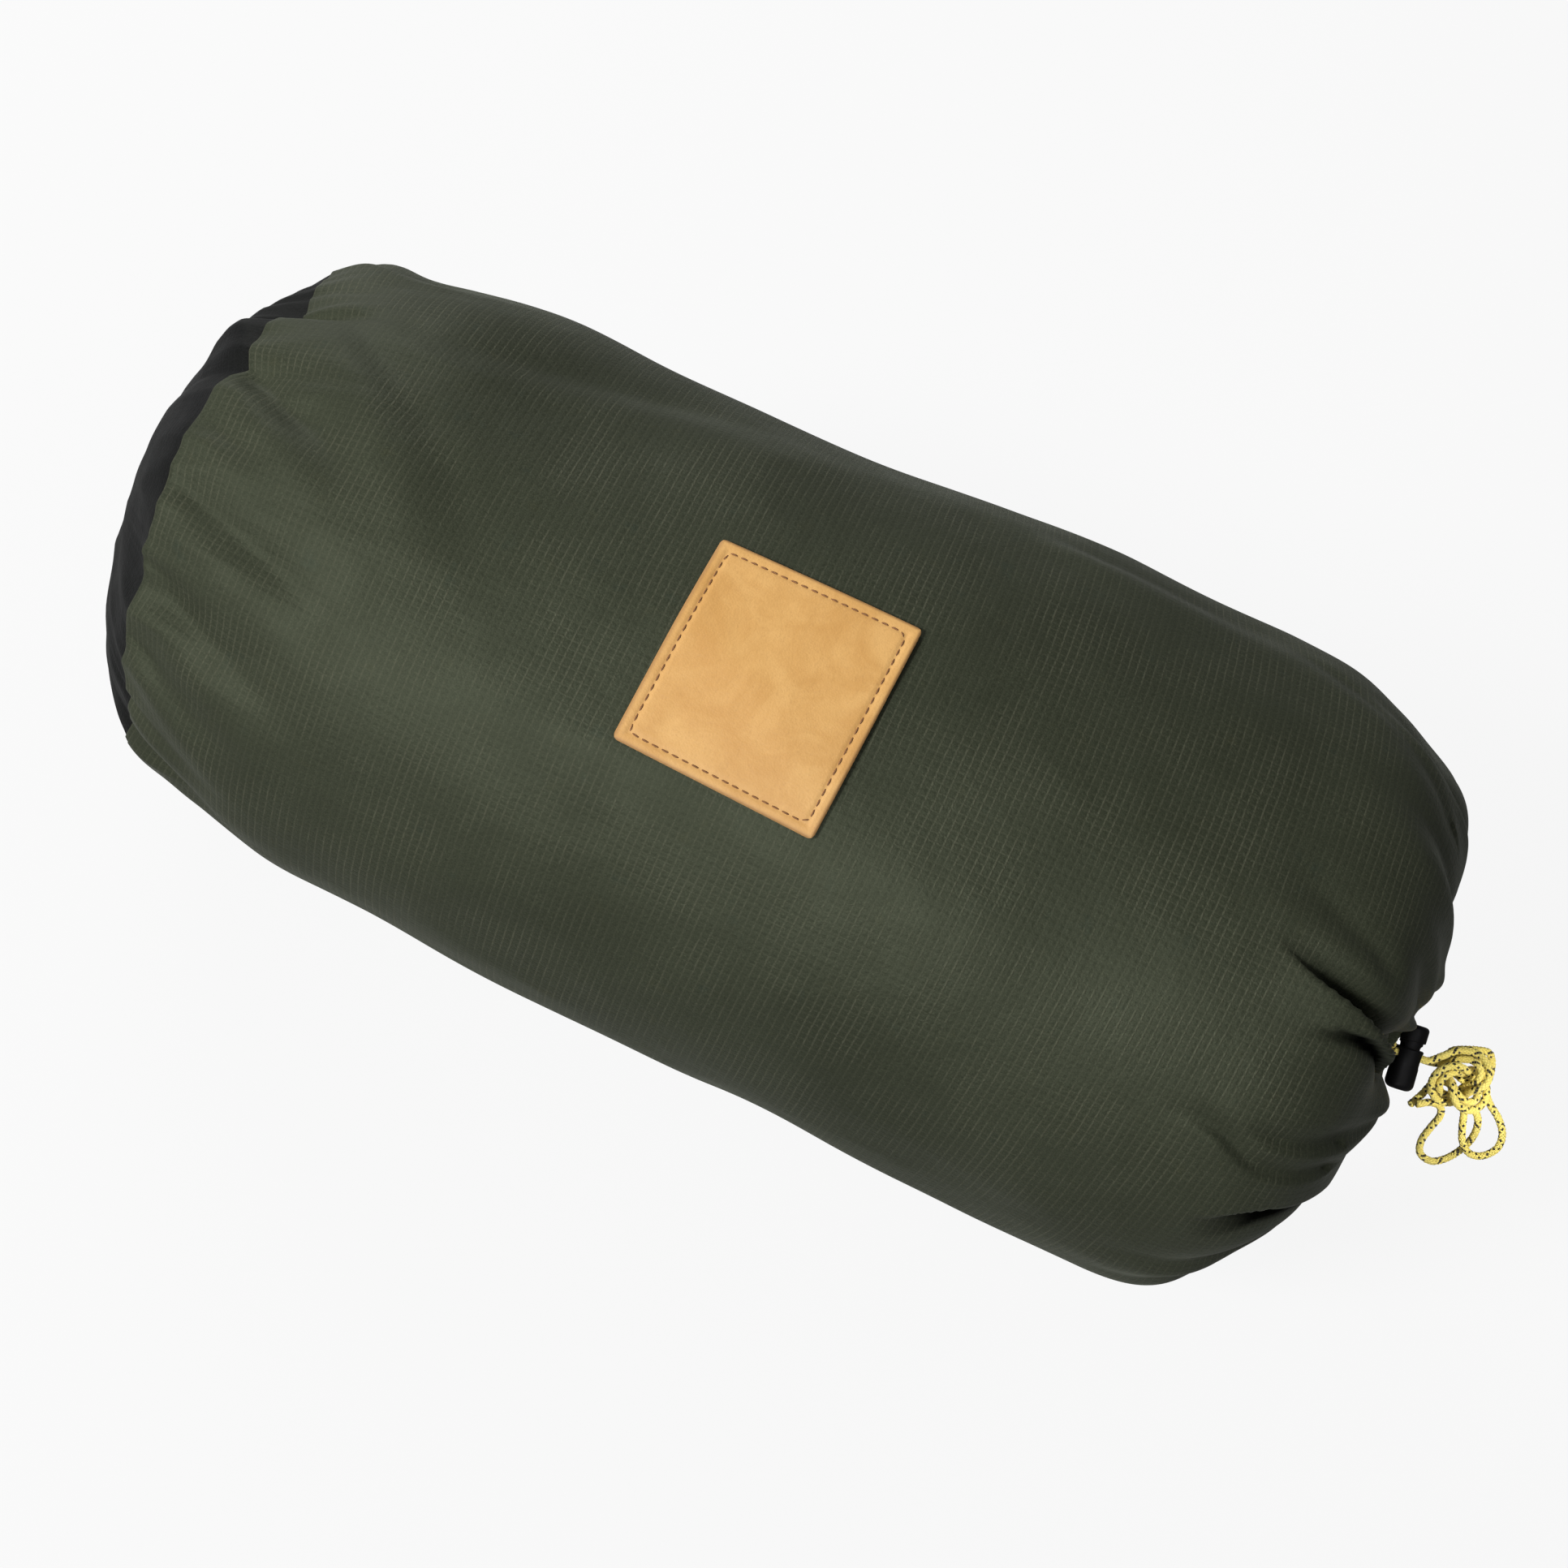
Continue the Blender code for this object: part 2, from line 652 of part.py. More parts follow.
def lock_hole_mesh(name, middle_height):
    """The cross hole for both strands, as a rounded box along the lock's X axis."""
    mesh = bpy.data.meshes.new(name)
    box = bmesh.new()
    bmesh.ops.create_cube(box, size=1)
    width = 2 * (STRAND_OFFSET + CORD_RADIUS + CLEAR)
    size = (4 * LOCK_RADIUS, width, LOCK_HOLE_HEIGHT)
    bmesh.ops.scale(box, vec=size, verts=box.verts)
    long_edges = [edge for edge in box.edges if abs(edge.verts[0].co.x - edge.verts[1].co.x) > LOCK_RADIUS]
    bmesh.ops.bevel(box, geom=long_edges, offset=LOCK_EDGE, segments=2, affect="EDGES", profile=0.5)
    bmesh.ops.translate(box, vec=(0, 0, middle_height), verts=box.verts)
    box.to_mesh(mesh)
    box.free()
    return mesh


def make_lock(finishes, collection, cutters):
    """Barrel, plunger and spring about the cord line, with the cap up along the lock."""
    holder = bpy.data.objects.new("cord_lock_axis", None)
    collection.objects.link(holder)
    axes = Matrix((ALONG_CORD, -OUTWARD, -DOWN_LOCK)).transposed()
    holder.matrix_world = Matrix.Translation(lock_place(0, 0, 0)) @ axes.to_4x4()
    clearance = CORD_RADIUS + CLEAR
    barrel_top = clearance + LOCK_BRIDGE
    bore = LOCK_RADIUS - LOCK_WALL
    bottom = -LOCK_DEPTH
    inner_floor = bottom + LOCK_FLOOR
    profile = [
        (0, inner_floor),
        (bore, inner_floor),
        (bore, barrel_top),
        (LOCK_RADIUS - LOCK_EDGE, barrel_top),
        (LOCK_RADIUS, barrel_top - LOCK_EDGE),
    ]
    rounding = LOCK_RADIUS / 2
    for i in range(5):
        turn = math.pi / 2 * i / 4
        round_radius = LOCK_RADIUS - rounding * (1 - math.cos(turn))
        profile.append((round_radius, bottom + rounding * (1 - math.sin(turn))))
    profile.append((0, bottom))
    barrel = turned("cord_lock_barrel", profile, LOCK_SIDES, finishes["black_plastic"], collection)
    barrel_hole = add_cutter(
        "barrel_hole", lock_hole_mesh("barrel_hole", clearance - LOCK_HOLE_HEIGHT / 2), cutters
    )
    cut(barrel, barrel_hole)

    stem = bore - CLEAR
    cap_bottom = barrel_top + PLUNGER_TRAVEL + CLEAR
    cap_top = cap_bottom + CAP_HEIGHT
    foot = -clearance - PLUNGER_FOOT
    dome = []
    for i in range(5):
        turn = math.pi / 2 * i / 4
        dome.append((CAP_RADIUS - CAP_DOME * (1 - math.sin(turn)), cap_top - CAP_DOME * (1 - math.cos(turn))))
    profile = [(0, cap_top), *dome, (CAP_RADIUS, cap_bottom), (stem, cap_bottom), (stem, foot), (0, foot)]
    plunger = turned("cord_lock_plunger", profile, LOCK_SIDES, finishes["black_plastic"], collection)
    plunger_hole = add_cutter(
        "plunger_hole", lock_hole_mesh("plunger_hole", LOCK_HOLE_HEIGHT / 2 - clearance), cutters
    )
    cut(plunger, plunger_hole)

    lowest = inner_floor + CLEAR + SPRING_WIRE / 2
    highest = foot - CLEAR - SPRING_WIRE / 2
    steps = SPRING_TURNS * 10
    coil = []
    for i in range(steps + 1):
        turn = 2 * math.pi * SPRING_TURNS * i / steps
        height = lowest + (highest - lowest) * i / steps
        coil.append((SPRING_RADIUS * math.cos(turn), SPRING_RADIUS * math.sin(turn), height))
    spring = add_object(
        "cord_lock_spring",
        tube_curve("cord_lock_spring", coil, SPRING_WIRE / 2, resolution=1),
        finishes["steel"],
        collection,
    )
    print(f"cord_lock_spring: gap between turns {((highest - lowest) / SPRING_TURNS - SPRING_WIRE) / MM:.2f} mm")
    for piece in (barrel, plunger, spring, barrel_hole, plunger_hole):
        piece.parent = holder


def roll_radius(x):
    """Outer radius of the rolled flysheet, just inside the sack and its puckers."""
    deepest_pucker = PUCKER_DEPTH * math.exp(-(x - SEAM_X) / PUCKER_FADE)
    return shoulder_radius(x) - FABRIC - ROLL_SLACK - deepest_pucker


def make_flysheet(finish, collection):
    between = [x for x, radius in sack_stations() if ROLL_START < x < ROLL_END]
    places = [ROLL_START, *between, ROLL_END]
    level = FABRIC + ROLL_SLACK
    rings = [[sack_point(x, roll_radius(x), angle, level) for angle in angles(SIDES)] for x in places]
    bore = INNER_ROLL_RADIUS + STRAP_THICKNESS + 2 * CLEAR
    for x in (ROLL_END, ROLL_START):
        ring = [
            Vector((x, bore * math.cos(angle), ROLL_CORE_HEIGHT + bore * math.sin(angle)))
            for angle in angles(SIDES)
        ]
        rings.append(ring)
    made = add_object("flysheet_roll", loft("flysheet_roll", rings, round_ends=True), finish, collection)
    smooth_shading(made)


def cylinder_mesh(name, radius, length, sides):
    mesh = bpy.data.meshes.new(name)
    shape = bmesh.new()
    bmesh.ops.create_cone(
        shape, cap_ends=True, segments=sides, radius1=radius, radius2=radius, depth=length
    )
    shape.to_mesh(mesh)
    shape.free()
    return mesh


def make_inner_roll(finish, collection, cutters):
    length = ROLL_END - ROLL_START
    middle = (ROLL_START + ROLL_END) / 2
    mesh = cylinder_mesh("inner_tent_roll", INNER_ROLL_RADIUS, length, ROLL_SIDES)
    made = add_object("inner_tent_roll", mesh, finish, collection)
    along_x(made, middle, z=ROLL_CORE_HEIGHT)
    smooth_shading(made)
    for name, radius, height in (
        ("pole_bag_bore", POLE_BAG_RADIUS + CLEAR, POLE_AXIS_HEIGHT),
        ("peg_bag_bore", PEG_BAG_RADIUS + CLEAR, PEG_AXIS_HEIGHT),
    ):
        bore = add_cutter(name, cylinder_mesh(name, radius, 2 * length, BAG_SIDES), cutters)
        along_x(bore, middle, z=height)
        cut(made, bore)


def make_straps(finish, collection):
    inner = INNER_ROLL_RADIUS + CLEAR
    outer = inner + STRAP_THICKNESS
    half = STRAP_WIDTH / 2
    profile = [(outer, half), (outer, -half), (inner, -half), (inner, half)]
    for name, x in (
        ("roll_strap_base_end", ROLL_START + STRAP_FROM_END),
        ("roll_strap_mouth_end", ROLL_END - STRAP_FROM_END),
    ):
        strap = turned(name, profile, ROLL_SIDES, finish, collection, closed=True)
        along_x(strap, x, z=ROLL_CORE_HEIGHT)


def make_bag(name, radius, wall, length, neck, finish, collection):
    """A drawn bag: a round-cornered closed end at the bottom and a narrow open neck at the top."""
    corner = BAG_CORNER
    inside = radius - wall
    profile = [
        (0, wall),
        (inside - corner, wall),
        (inside, corner + wall),
        (inside, length - corner),
        (neck - wall, length),
        (neck, length),
        (radius, length - corner),
        (radius, corner),
        (radius - corner, 0),
        (0, 0),
    ]
    return turned(name, profile, BAG_SIDES, finish, collection)


def bundle_place(pole, section):
    """Y and Z of a section in the bundle: two in the inner ring of six, four in the outer ring of twelve."""
    if section in (0, SECTIONS - 1):
        turn = 2 * pole + (1 if section else 0)
        distance, angle = TUBE_PITCH, math.pi / 3 * turn
    else:
        turn = 4 * pole + section - 1
        distance = TUBE_PITCH * (math.sqrt(3) if turn % 2 else 2)
        angle = math.pi / 6 * turn
    return Vector((0, distance * math.cos(angle), POLE_AXIS_HEIGHT + distance * math.sin(angle)))


def pole_bag_length():
    return ROLL_END - ROLL_START - 2 * BAG_END_ROOM


def section_start():
    return ROLL_START + BAG_END_ROOM + POLE_BAG_WALL + CLEAR + TIP_HEAD_LENGTH + TIP_NOSE_LENGTH


def make_poles(finishes, collection):
    start = section_start()
    end = start + SECTION_LENGTH
    shoulder = SECTION_LENGTH - FERRULE_LENGTH
    with_ferrule = [
        (FERRULE_RADIUS, SECTION_LENGTH),
        (FERRULE_RADIUS, shoulder),
        (SECTION_RADIUS, shoulder),
        (SECTION_RADIUS, 0),
        (SECTION_BORE, 0),
        (SECTION_BORE, SECTION_LENGTH),
    ]
    plain = [
        (SECTION_RADIUS, SECTION_LENGTH),
        (SECTION_RADIUS, 0),
        (SECTION_BORE, 0),
        (SECTION_BORE, SECTION_LENGTH),
    ]
    for pole in range(POLES):
        for section in range(SECTIONS):
            last = section == SECTIONS - 1
            name = f"pole_{pole + 1}_section_{section + 1}"
            profile = plain if last else with_ferrule
            tube = turned(name, profile, TUBE_SIDES, finishes["pole_alloy"], collection, closed=True)
            place = bundle_place(pole, section)
            if section % 2 and not last:
                turn = Matrix.Rotation(-math.pi / 2, 4, "Y")
                tube.matrix_world = Matrix.Translation((end, place.y, place.z)) @ turn
            else:
                along_x(tube, start, place.y, place.z)
        make_shock_cord(pole, start, end, finishes["elastic"], collection)
        for end_name, section in (("first", 0), ("last", SECTIONS - 1)):
            make_tip(f"pole_{pole + 1}_tip_{end_name}", bundle_place(pole, section), start, finishes, collection)
    sleeve = turned(
        "pole_repair_sleeve",
        [
            (SECTION_RADIUS, SLEEVE_LENGTH),
            (SECTION_RADIUS, 0),
            (SECTION_BORE, 0),
            (SECTION_BORE, SLEEVE_LENGTH),
        ],
        TUBE_SIDES,
        finishes["pole_alloy"],
        collection,
        closed=True,
    )
    along_x(sleeve, start, 0.0, POLE_AXIS_HEIGHT)


def make_shock_cord(pole, start, end, finish, collection):
    """The elastic cord through all the sections, turning from one to the next at alternate ends."""
    aside = SECTION_BORE - SHOCK_CORD_RADIUS - CLEAR
    points = []
    places = [bundle_place(pole, section) for section in range(SECTIONS)]
    first = Vector((start + TIP_PLUG_LENGTH + CLEAR, 0, 0))
    towards_next = (places[1] - places[0]).normalized()
    points.append(first + places[0] + towards_next * aside)
    for section in range(SECTIONS - 1):
        at_end = section % 2 == 0
        rim = end if at_end else start
        outward = 1 if at_end else -1
        here, there = places[section], places[section + 1]
        across = (there - here).normalized()
        leave = here + across * aside
        enter = there - across * aside
        half_width = (enter - leave) / 2
        middle = (enter + leave) / 2
        for i in range(5):
            turn = math.pi * i / 4
            beyond = outward * half_width.length * math.sin(turn)
            point = middle - half_width * math.cos(turn)
            points.append(Vector((rim + beyond, point.y, point.z)))
    back = (places[-2] - places[-1]).normalized()
    points.append(first + places[-1] + back * aside)
    name = f"pole_{pole + 1}_shock_cord"
    add_object(name, tube_curve(name, points, SHOCK_CORD_RADIUS, resolution=1), finish, collection)


def make_tip(name, place, start, finishes, collection):
    """A tip plugged into a pole's free end, with a shoulder and a thin nose."""
    plug = SECTION_BORE - CLEAR
    nose_end = TIP_HEAD_LENGTH + TIP_NOSE_LENGTH
    profile = [
        (0, TIP_PLUG_LENGTH),
        (plug, TIP_PLUG_LENGTH),
        (plug, -CLEAR),
        (SECTION_RADIUS, -CLEAR),
        (SECTION_RADIUS, -TIP_HEAD_LENGTH),
        (TIP_NOSE_RADIUS, -TIP_HEAD_LENGTH),
        (TIP_NOSE_RADIUS, -nose_end),
        (0, -nose_end),
    ]
    tip = turned(name, profile, TUBE_SIDES, finishes["peg_alloy"], collection)
    along_x(tip, start, place.y, place.z)


def make_pole_bag(finishes, collection):
    length = pole_bag_length()
    bag = make_bag(
        "pole_bag", POLE_BAG_RADIUS, POLE_BAG_WALL, length, POLE_BAG_NECK, finishes["ripstop"], collection
    )
    along_x(bag, ROLL_START + BAG_END_ROOM, z=POLE_AXIS_HEIGHT)


def peg_mesh():
    """An angle peg along X: two legs that meet at a fold and shorten to a point at one end."""
    rings = []
    for x, leg in ((0, PEG_LEG), (PEG_LENGTH - PEG_POINT, PEG_LEG), (PEG_LENGTH, PEG_POINT_LEG)):
        reach = leg / math.sqrt(2)
        step = PEG_WALL / math.sqrt(2)
        outline = [
            (0, 0),
            (reach, reach),
            (reach - step, reach + step),
            (0, 2 * step),
            (step - reach, reach + step),
            (-reach, reach),
        ]
        rings.append([Vector((x, y, z)) for y, z in outline])
    mesh = loft("tent_peg", rings)
    shape = bmesh.new()
    shape.from_mesh(mesh)
    bmesh.ops.holes_fill(shape, edges=shape.edges)
    bmesh.ops.recalc_face_normals(shape, faces=shape.faces)
    shape.to_mesh(mesh)
    shape.free()
    return mesh


def make_pegs(finishes, collection):
    pitch = PEG_WALL * math.sqrt(2) + CLEAR * math.sqrt(2)
    stack = pitch * (PEGS - 1) + (PEG_LEG + PEG_WALL) / math.sqrt(2)
    mesh = peg_mesh()
    mesh.materials.append(finishes["peg_alloy"])
    for i in range(PEGS):
        peg = bpy.data.objects.new(f"tent_peg_{i + 1:02d}", mesh)
        collection.objects.link(peg)
        peg.location = (
            ROLL_START + BAG_END_ROOM + PEG_BAG_WALL + BAG_CORNER + CLEAR,
            0,
            PEG_AXIS_HEIGHT - stack / 2 + pitch * i,
        )
    bag_length = PEG_LENGTH + 2 * (PEG_BAG_WALL + BAG_CORNER + CLEAR) + BAG_END_ROOM
    bag = make_bag(
        "peg_bag", PEG_BAG_RADIUS, PEG_BAG_WALL, bag_length, POLE_BAG_NECK, finishes["ripstop"], collection
    )
    along_x(bag, ROLL_START + BAG_END_ROOM, z=PEG_AXIS_HEIGHT)
    return ROLL_START + BAG_END_ROOM + bag_length


def make_hank(start_x, finish, collection):
    """The spare guy line, wound flat: a bar with round ends."""
    half_width = HANK_WIDTH / 2
    run = HANK_LENGTH / 2 - half_width
    outline = []
    for centre, first in ((run, -90), (-run, 90)):
        for i in range(9):
            turn = math.radians(first + 180 * i / 8)
            outline.append((centre + half_width * math.cos(turn), half_width * math.sin(turn)))
    curve = bpy.data.curves.new("guy_line_hank", "CURVE")
    curve.dimensions = "2D"
    curve.fill_mode = "BOTH"
    curve.extrude = HANK_THICKNESS / 2
    spline = curve.splines.new("POLY")
    spline.points.add(len(outline) - 1)
    spline.use_cyclic_u = True
    for place, (x, y) in zip(spline.points, outline):
        place.co = (x, y, 0, 1)
    made = add_object("guy_line_hank", curve, finish, collection)
    made.location = (start_x + HANK_FROM_PEG_BAG + HANK_LENGTH / 2, 0, PEG_AXIS_HEIGHT)


def main():
    clear_scene()
    parts = new_collection("packed_camping_tent")
    cutters = new_collection("cutters", helper=True)
    finishes = make_materials()
    make_sack_tube(finishes["ripstop"], parts)
    make_sack_base(finishes["base_fabric"], parts)
    make_hem(finishes["ripstop"], parts, cutters)
    make_patch(finishes["leather"], parts)
    make_channel_cord(finishes["cord"], parts)
    make_tails(finishes["cord"], parts)
    make_lock(finishes, parts, cutters)
    make_flysheet(finishes["inner_fabric"], parts)
    make_inner_roll(finishes["inner_fabric"], parts, cutters)
    make_straps(finishes["elastic"], parts)
    make_pole_bag(finishes, parts)
    make_poles(finishes, parts)
    hank_start = make_pegs(finishes, parts)
    make_hank(hank_start, finishes["cord"], parts)


main()
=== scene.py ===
"""Looks of a camping tent packed in its stuff sack.

The sack lies on its side along X, with its gathered mouth at +X. Lengths are in metres and +Z is up.
Angles round the sack start at +Y and run over the top. On the fabric, s is the distance from the base seam
along the cloth.
"""

import math

import bmesh
import bpy
import numpy as np
from mathutils import Matrix, Vector, noise


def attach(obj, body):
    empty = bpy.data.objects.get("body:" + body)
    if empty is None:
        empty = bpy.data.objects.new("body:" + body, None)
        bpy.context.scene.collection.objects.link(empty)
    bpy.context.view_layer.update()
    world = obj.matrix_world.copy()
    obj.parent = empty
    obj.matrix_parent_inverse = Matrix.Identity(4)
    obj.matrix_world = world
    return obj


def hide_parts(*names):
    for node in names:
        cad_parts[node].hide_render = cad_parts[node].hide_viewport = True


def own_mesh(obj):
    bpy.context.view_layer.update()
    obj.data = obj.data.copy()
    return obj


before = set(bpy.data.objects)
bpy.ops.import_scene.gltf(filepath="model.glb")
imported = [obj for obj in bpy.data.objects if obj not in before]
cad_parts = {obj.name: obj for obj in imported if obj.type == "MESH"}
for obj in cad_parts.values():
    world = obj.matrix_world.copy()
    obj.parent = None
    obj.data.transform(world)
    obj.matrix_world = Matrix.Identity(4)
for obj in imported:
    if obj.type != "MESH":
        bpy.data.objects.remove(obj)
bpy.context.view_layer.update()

MM = 0.001
CLEAR = 0.3 * MM

# The sack, as in the part
TUBE_LENGTH = 464 * MM
BASE_END_RADIUS = 115.5 * MM
MOUTH_END_RADIUS = 121.5 * MM
SWELL_START = 90 * MM
SWELL_LENGTH = 220 * MM
SAG = 12 * MM
FOOT_ROUNDING = 5 * MM
SEAM_STEP = 21 * MM
BASE_TAPER = 85 * MM
BASE_BULGE = 30 * MM
SHOULDER_LENGTH = 70 * MM
SHOULDER_END_ANGLE = math.radians(78)
MOUTH_LIP = [(r * MM, x * MM) for r, x in ((30, -1.5), (21, -4.5), (14, -5.5), (11, -3.0), (9.6, 3.3))]
NECK_RADIUS = MOUTH_LIP[-1][0]
MOUTH_BLEND_RADIUS = 90 * MM
SEAM_X = -229.3 * MM
MOUTH_X = SEAM_X + TUBE_LENGTH
SHOULDER_X = MOUTH_X - SHOULDER_LENGTH
FACING_TILT = math.radians(55)

# The patch, a little larger than in the part and turned with the photo's
PATCH_LENGTH = 72.4 * MM
PATCH_HEIGHT = 76.6 * MM
PATCH_THICKNESS = 1.6 * MM
PATCH_CORNER = 2.2 * MM
PATCH_FROM_SEAM = 214.1 * MM
PATCH_ABOVE_FACING = math.radians(10.4)
PATCH_ANGLE = math.pi - FACING_TILT - PATCH_ABOVE_FACING
PATCH_TURN = math.radians(2.7)
PATCH_LIFT = 0.45 * MM
PATCH_STEPS = 90
STITCH_INSET = 3.9 * MM
STITCH_PITCH = 3.6 * MM
STITCH_LENGTH = 2.7 * MM
STITCH_SUNK = 0.62 * MM
STITCH_BOW = 0.42 * MM
THREAD_RADIUS = 0.32 * MM

# The drawcord, the hem and the lock, as in the part, but for the lock's wall, which is thinner here so
# that the stem fills more of the gap under the cap, and the spring's flat end turns
CORD_DIAMETER = 2.8 * MM
STRAND_OFFSET = 1.55 * MM
BRAID_STRANDS = 6
BRAID_PITCH = 1.4 * MM
BRAID_RELIEF = 0.3 * MM
BRAID_STEP = 0.3 * MM
BRAID_SIDES = 32
HEM_RING_RADIUS = 9 * MM
HEM_THICKNESS = 8 * MM
HEM_SET_BACK = 2 * MM
EYELET_TURN = math.radians(25)
LOCK_X = MOUTH_X + 18 * MM
LOCK_ABOVE_AXIS = 1.2 * MM
LOCK_TILT = math.radians(8.4)
LOCK_RADIUS = 5.4 * MM
LOCK_WALL = 0.7 * MM
LOCK_FLOOR = 1.0 * MM
LOCK_BRIDGE = 0.9 * MM
LOCK_DEPTH = 13.3 * MM
LOCK_EDGE = 0.6 * MM
LOCK_HOLE_HEIGHT = 6 * MM
PLUNGER_TRAVEL = 2.5 * MM
PLUNGER_FOOT = 3.4 * MM
SPRING_WIRE = 0.5 * MM
SPRING_RADIUS = 3.2 * MM
SPRING_TURNS = 5.6
SPRING_END_TURN = 0.8
CAP_RADIUS = 5.2 * MM
CAP_HEIGHT = 6.2 * MM
CAP_DOME = 1.6 * MM
CAP_EDGE = 0.4 * MM
HEM_FRONT_X = LOCK_X - LOCK_RADIUS - 1 * MM
EYELET_ABOVE_AXIS = LOCK_ABOVE_AXIS + (LOCK_X - HEM_FRONT_X) * math.tan(LOCK_TILT)
KNOT_FROM_LOCK = 22 * MM
KNOT_BELOW_CORD = 3.6 * MM
KNOT_RADIUS = 6.9 * MM
KNOT_SWING = 3.3 * MM
KNOT_DEPTH = 4.3 * MM
KNOT_DRIFT = 1.4 * MM
KNOT_TWIST = math.radians(-60)
KNOT_START = math.radians(2)
KNOT_END = math.radians(352)
KNOT_POINTS = 43
CHANNEL_POINTS = 19

# Each tail's run between lock and knot, and after the knot, in millimetres from the middle of the lock's
# hole: along the cord, down the barrel, and outward
UPPER_LEAD = [(-4, 0, 1.55), (4, 0, 1.55), (7.8, -0.2, 1.5), (12.4, -3.4, 0.8), (17.2, -6.95, 0.9)]
LOWER_LEAD = [(-4, 0, -1.55), (4, 0, -1.55), (9.5, 0.2, -1.5), (14.4, -0.8, -1.3), (18.5, -3.75, 0.1)]
UPPER_LOOP = [
    (28.6, -9.6, -3.8), (32.5, -7.4, -6.4), (34.6, -2.4, -9.2), (35, 3.6, -11), (38.7, 8.9, -12.8),
    (44.3, 13.5, -14.8), (48.2, 19, -16.8), (48.5, 24.8, -18.8), (44.5, 29.2, -20.3), (39.3, 29.7, -20),
    (35, 26, -18.3), (32.7, 20.5, -16.5), (30.8, 14.2, -15), (26.5, 9, -14.3), (21, 6.2, -14.2),
    (16, 8.2, -12.9), (12.5, 13, -10), (8.6, 18.1, -8),
]
LOWER_LOOP = [
    (27.8, -5.8, -4), (31, -3.2, -6.9), (30.9, 1.6, -9.6), (26.8, 3.6, -11), (21.8, 1.8, -11),
    (17.3, 2.6, -10.3), (15.6, 6.6, -9.6), (18.3, 10.2, -9.4), (23, 11.2, -10), (28, 11, -11),
    (33, 12.4, -12.3), (37, 16.2, -14.7), (38.8, 22, -19), (38.2, 28, -24), (34.5, 34, -27),
    (28.5, 37.2, -26), (22.8, 35.5, -24), (20.8, 30.5, -21), (21.5, 24.3, -17), (22.3, 19, -13),
    (20, 15.4, -9), (15.2, 14.8, -6.2), (9.8, 17, -4.5),
]

# Directions across the sack: down over its front, and out towards the one who looks at the patch
DOWN_FRONT = Vector((0, -math.sin(FACING_TILT), -math.cos(FACING_TILT)))
OUTWARD = Vector((0, -math.cos(FACING_TILT), math.sin(FACING_TILT)))

# Directions of the cord lock: along the cord through it, and down its barrel
ALONG_CORD = Vector((math.cos(LOCK_TILT), 0, 0)) - DOWN_FRONT * math.sin(LOCK_TILT)
DOWN_LOCK = DOWN_FRONT * math.cos(LOCK_TILT) + Vector((math.sin(LOCK_TILT), 0, 0))

# What the sack holds, as in the part
ROLL_START = SEAM_X + 12 * MM
ROLL_END = MOUTH_X - 42 * MM
ROLL_CORE_HEIGHT = 106 * MM
ROLL_CLEAR_OF_FOLDS = 8 * MM
ROLL_EDGE = 1.6 * MM
LAYER_PITCH = 4.5 * MM
INNER_ROLL_RADIUS = 61.4 * MM
STRAP_THICKNESS = 1.6 * MM
STRAP_WIDTH = 25 * MM
STRAP_FROM_END = 90 * MM
STRAP_RIB = 0.12 * MM
SECTION_LENGTH = 385 * MM
SECTION_RADIUS = 4.75 * MM
SECTION_BORE = 3.5 * MM
SHOCK_CORD_RADIUS = 1.25 * MM
TIP_LENGTH = 9 * MM
TIP_PLUG_LENGTH = 8 * MM
POLE_BAG_WALL = 0.8 * MM
POLE_BAG_RADIUS = 2 * (2 * SECTION_RADIUS + CLEAR) + SECTION_RADIUS + CLEAR + POLE_BAG_WALL
POLE_AXIS_HEIGHT = ROLL_CORE_HEIGHT + 14 * MM
BAG_START = ROLL_START + 3 * MM
BAG_NECK = 8 * MM
PEG_BAG_RADIUS = 17.2 * MM
PEG_BAG_WALL = 0.6 * MM
PEG_AXIS_HEIGHT = ROLL_CORE_HEIGHT - 36 * MM
PEG_BAG_LENGTH = 180 * MM + 2 * (PEG_BAG_WALL + 2 * MM + CLEAR) + 3 * MM
HANK_LENGTH = 130 * MM
HANK_WIDTH = 27 * MM
HANK_THICKNESS = 20 * MM
HANK_LAYERS = 4
HANK_LEVELS = 7

# The fabric's make
CLOTH_STEP = 1.35 * MM
CLOTH_THICKNESS = 0.5 * MM
CLOTH_RADIUS = 118 * MM
RIPSTOP_PITCH = 2.9 * MM
YARN_WIDTH = 0.2
PANEL_TUCK = 0.9 * MM

# Where the cloth starts to be drawn in towards the mouth, and its pleats there: how many, height, seed of
# their unevenness, the radius where they start, and the depth over which they grow
END_START = 400 * MM
END_LENGTH = 60 * MM
PLEATS = [(13, 6.0 * MM, 11, 112 * MM, 70 * MM), (34, 3.0 * MM, 21, 88 * MM, 60 * MM)]
HEM_RUFFLES = 17

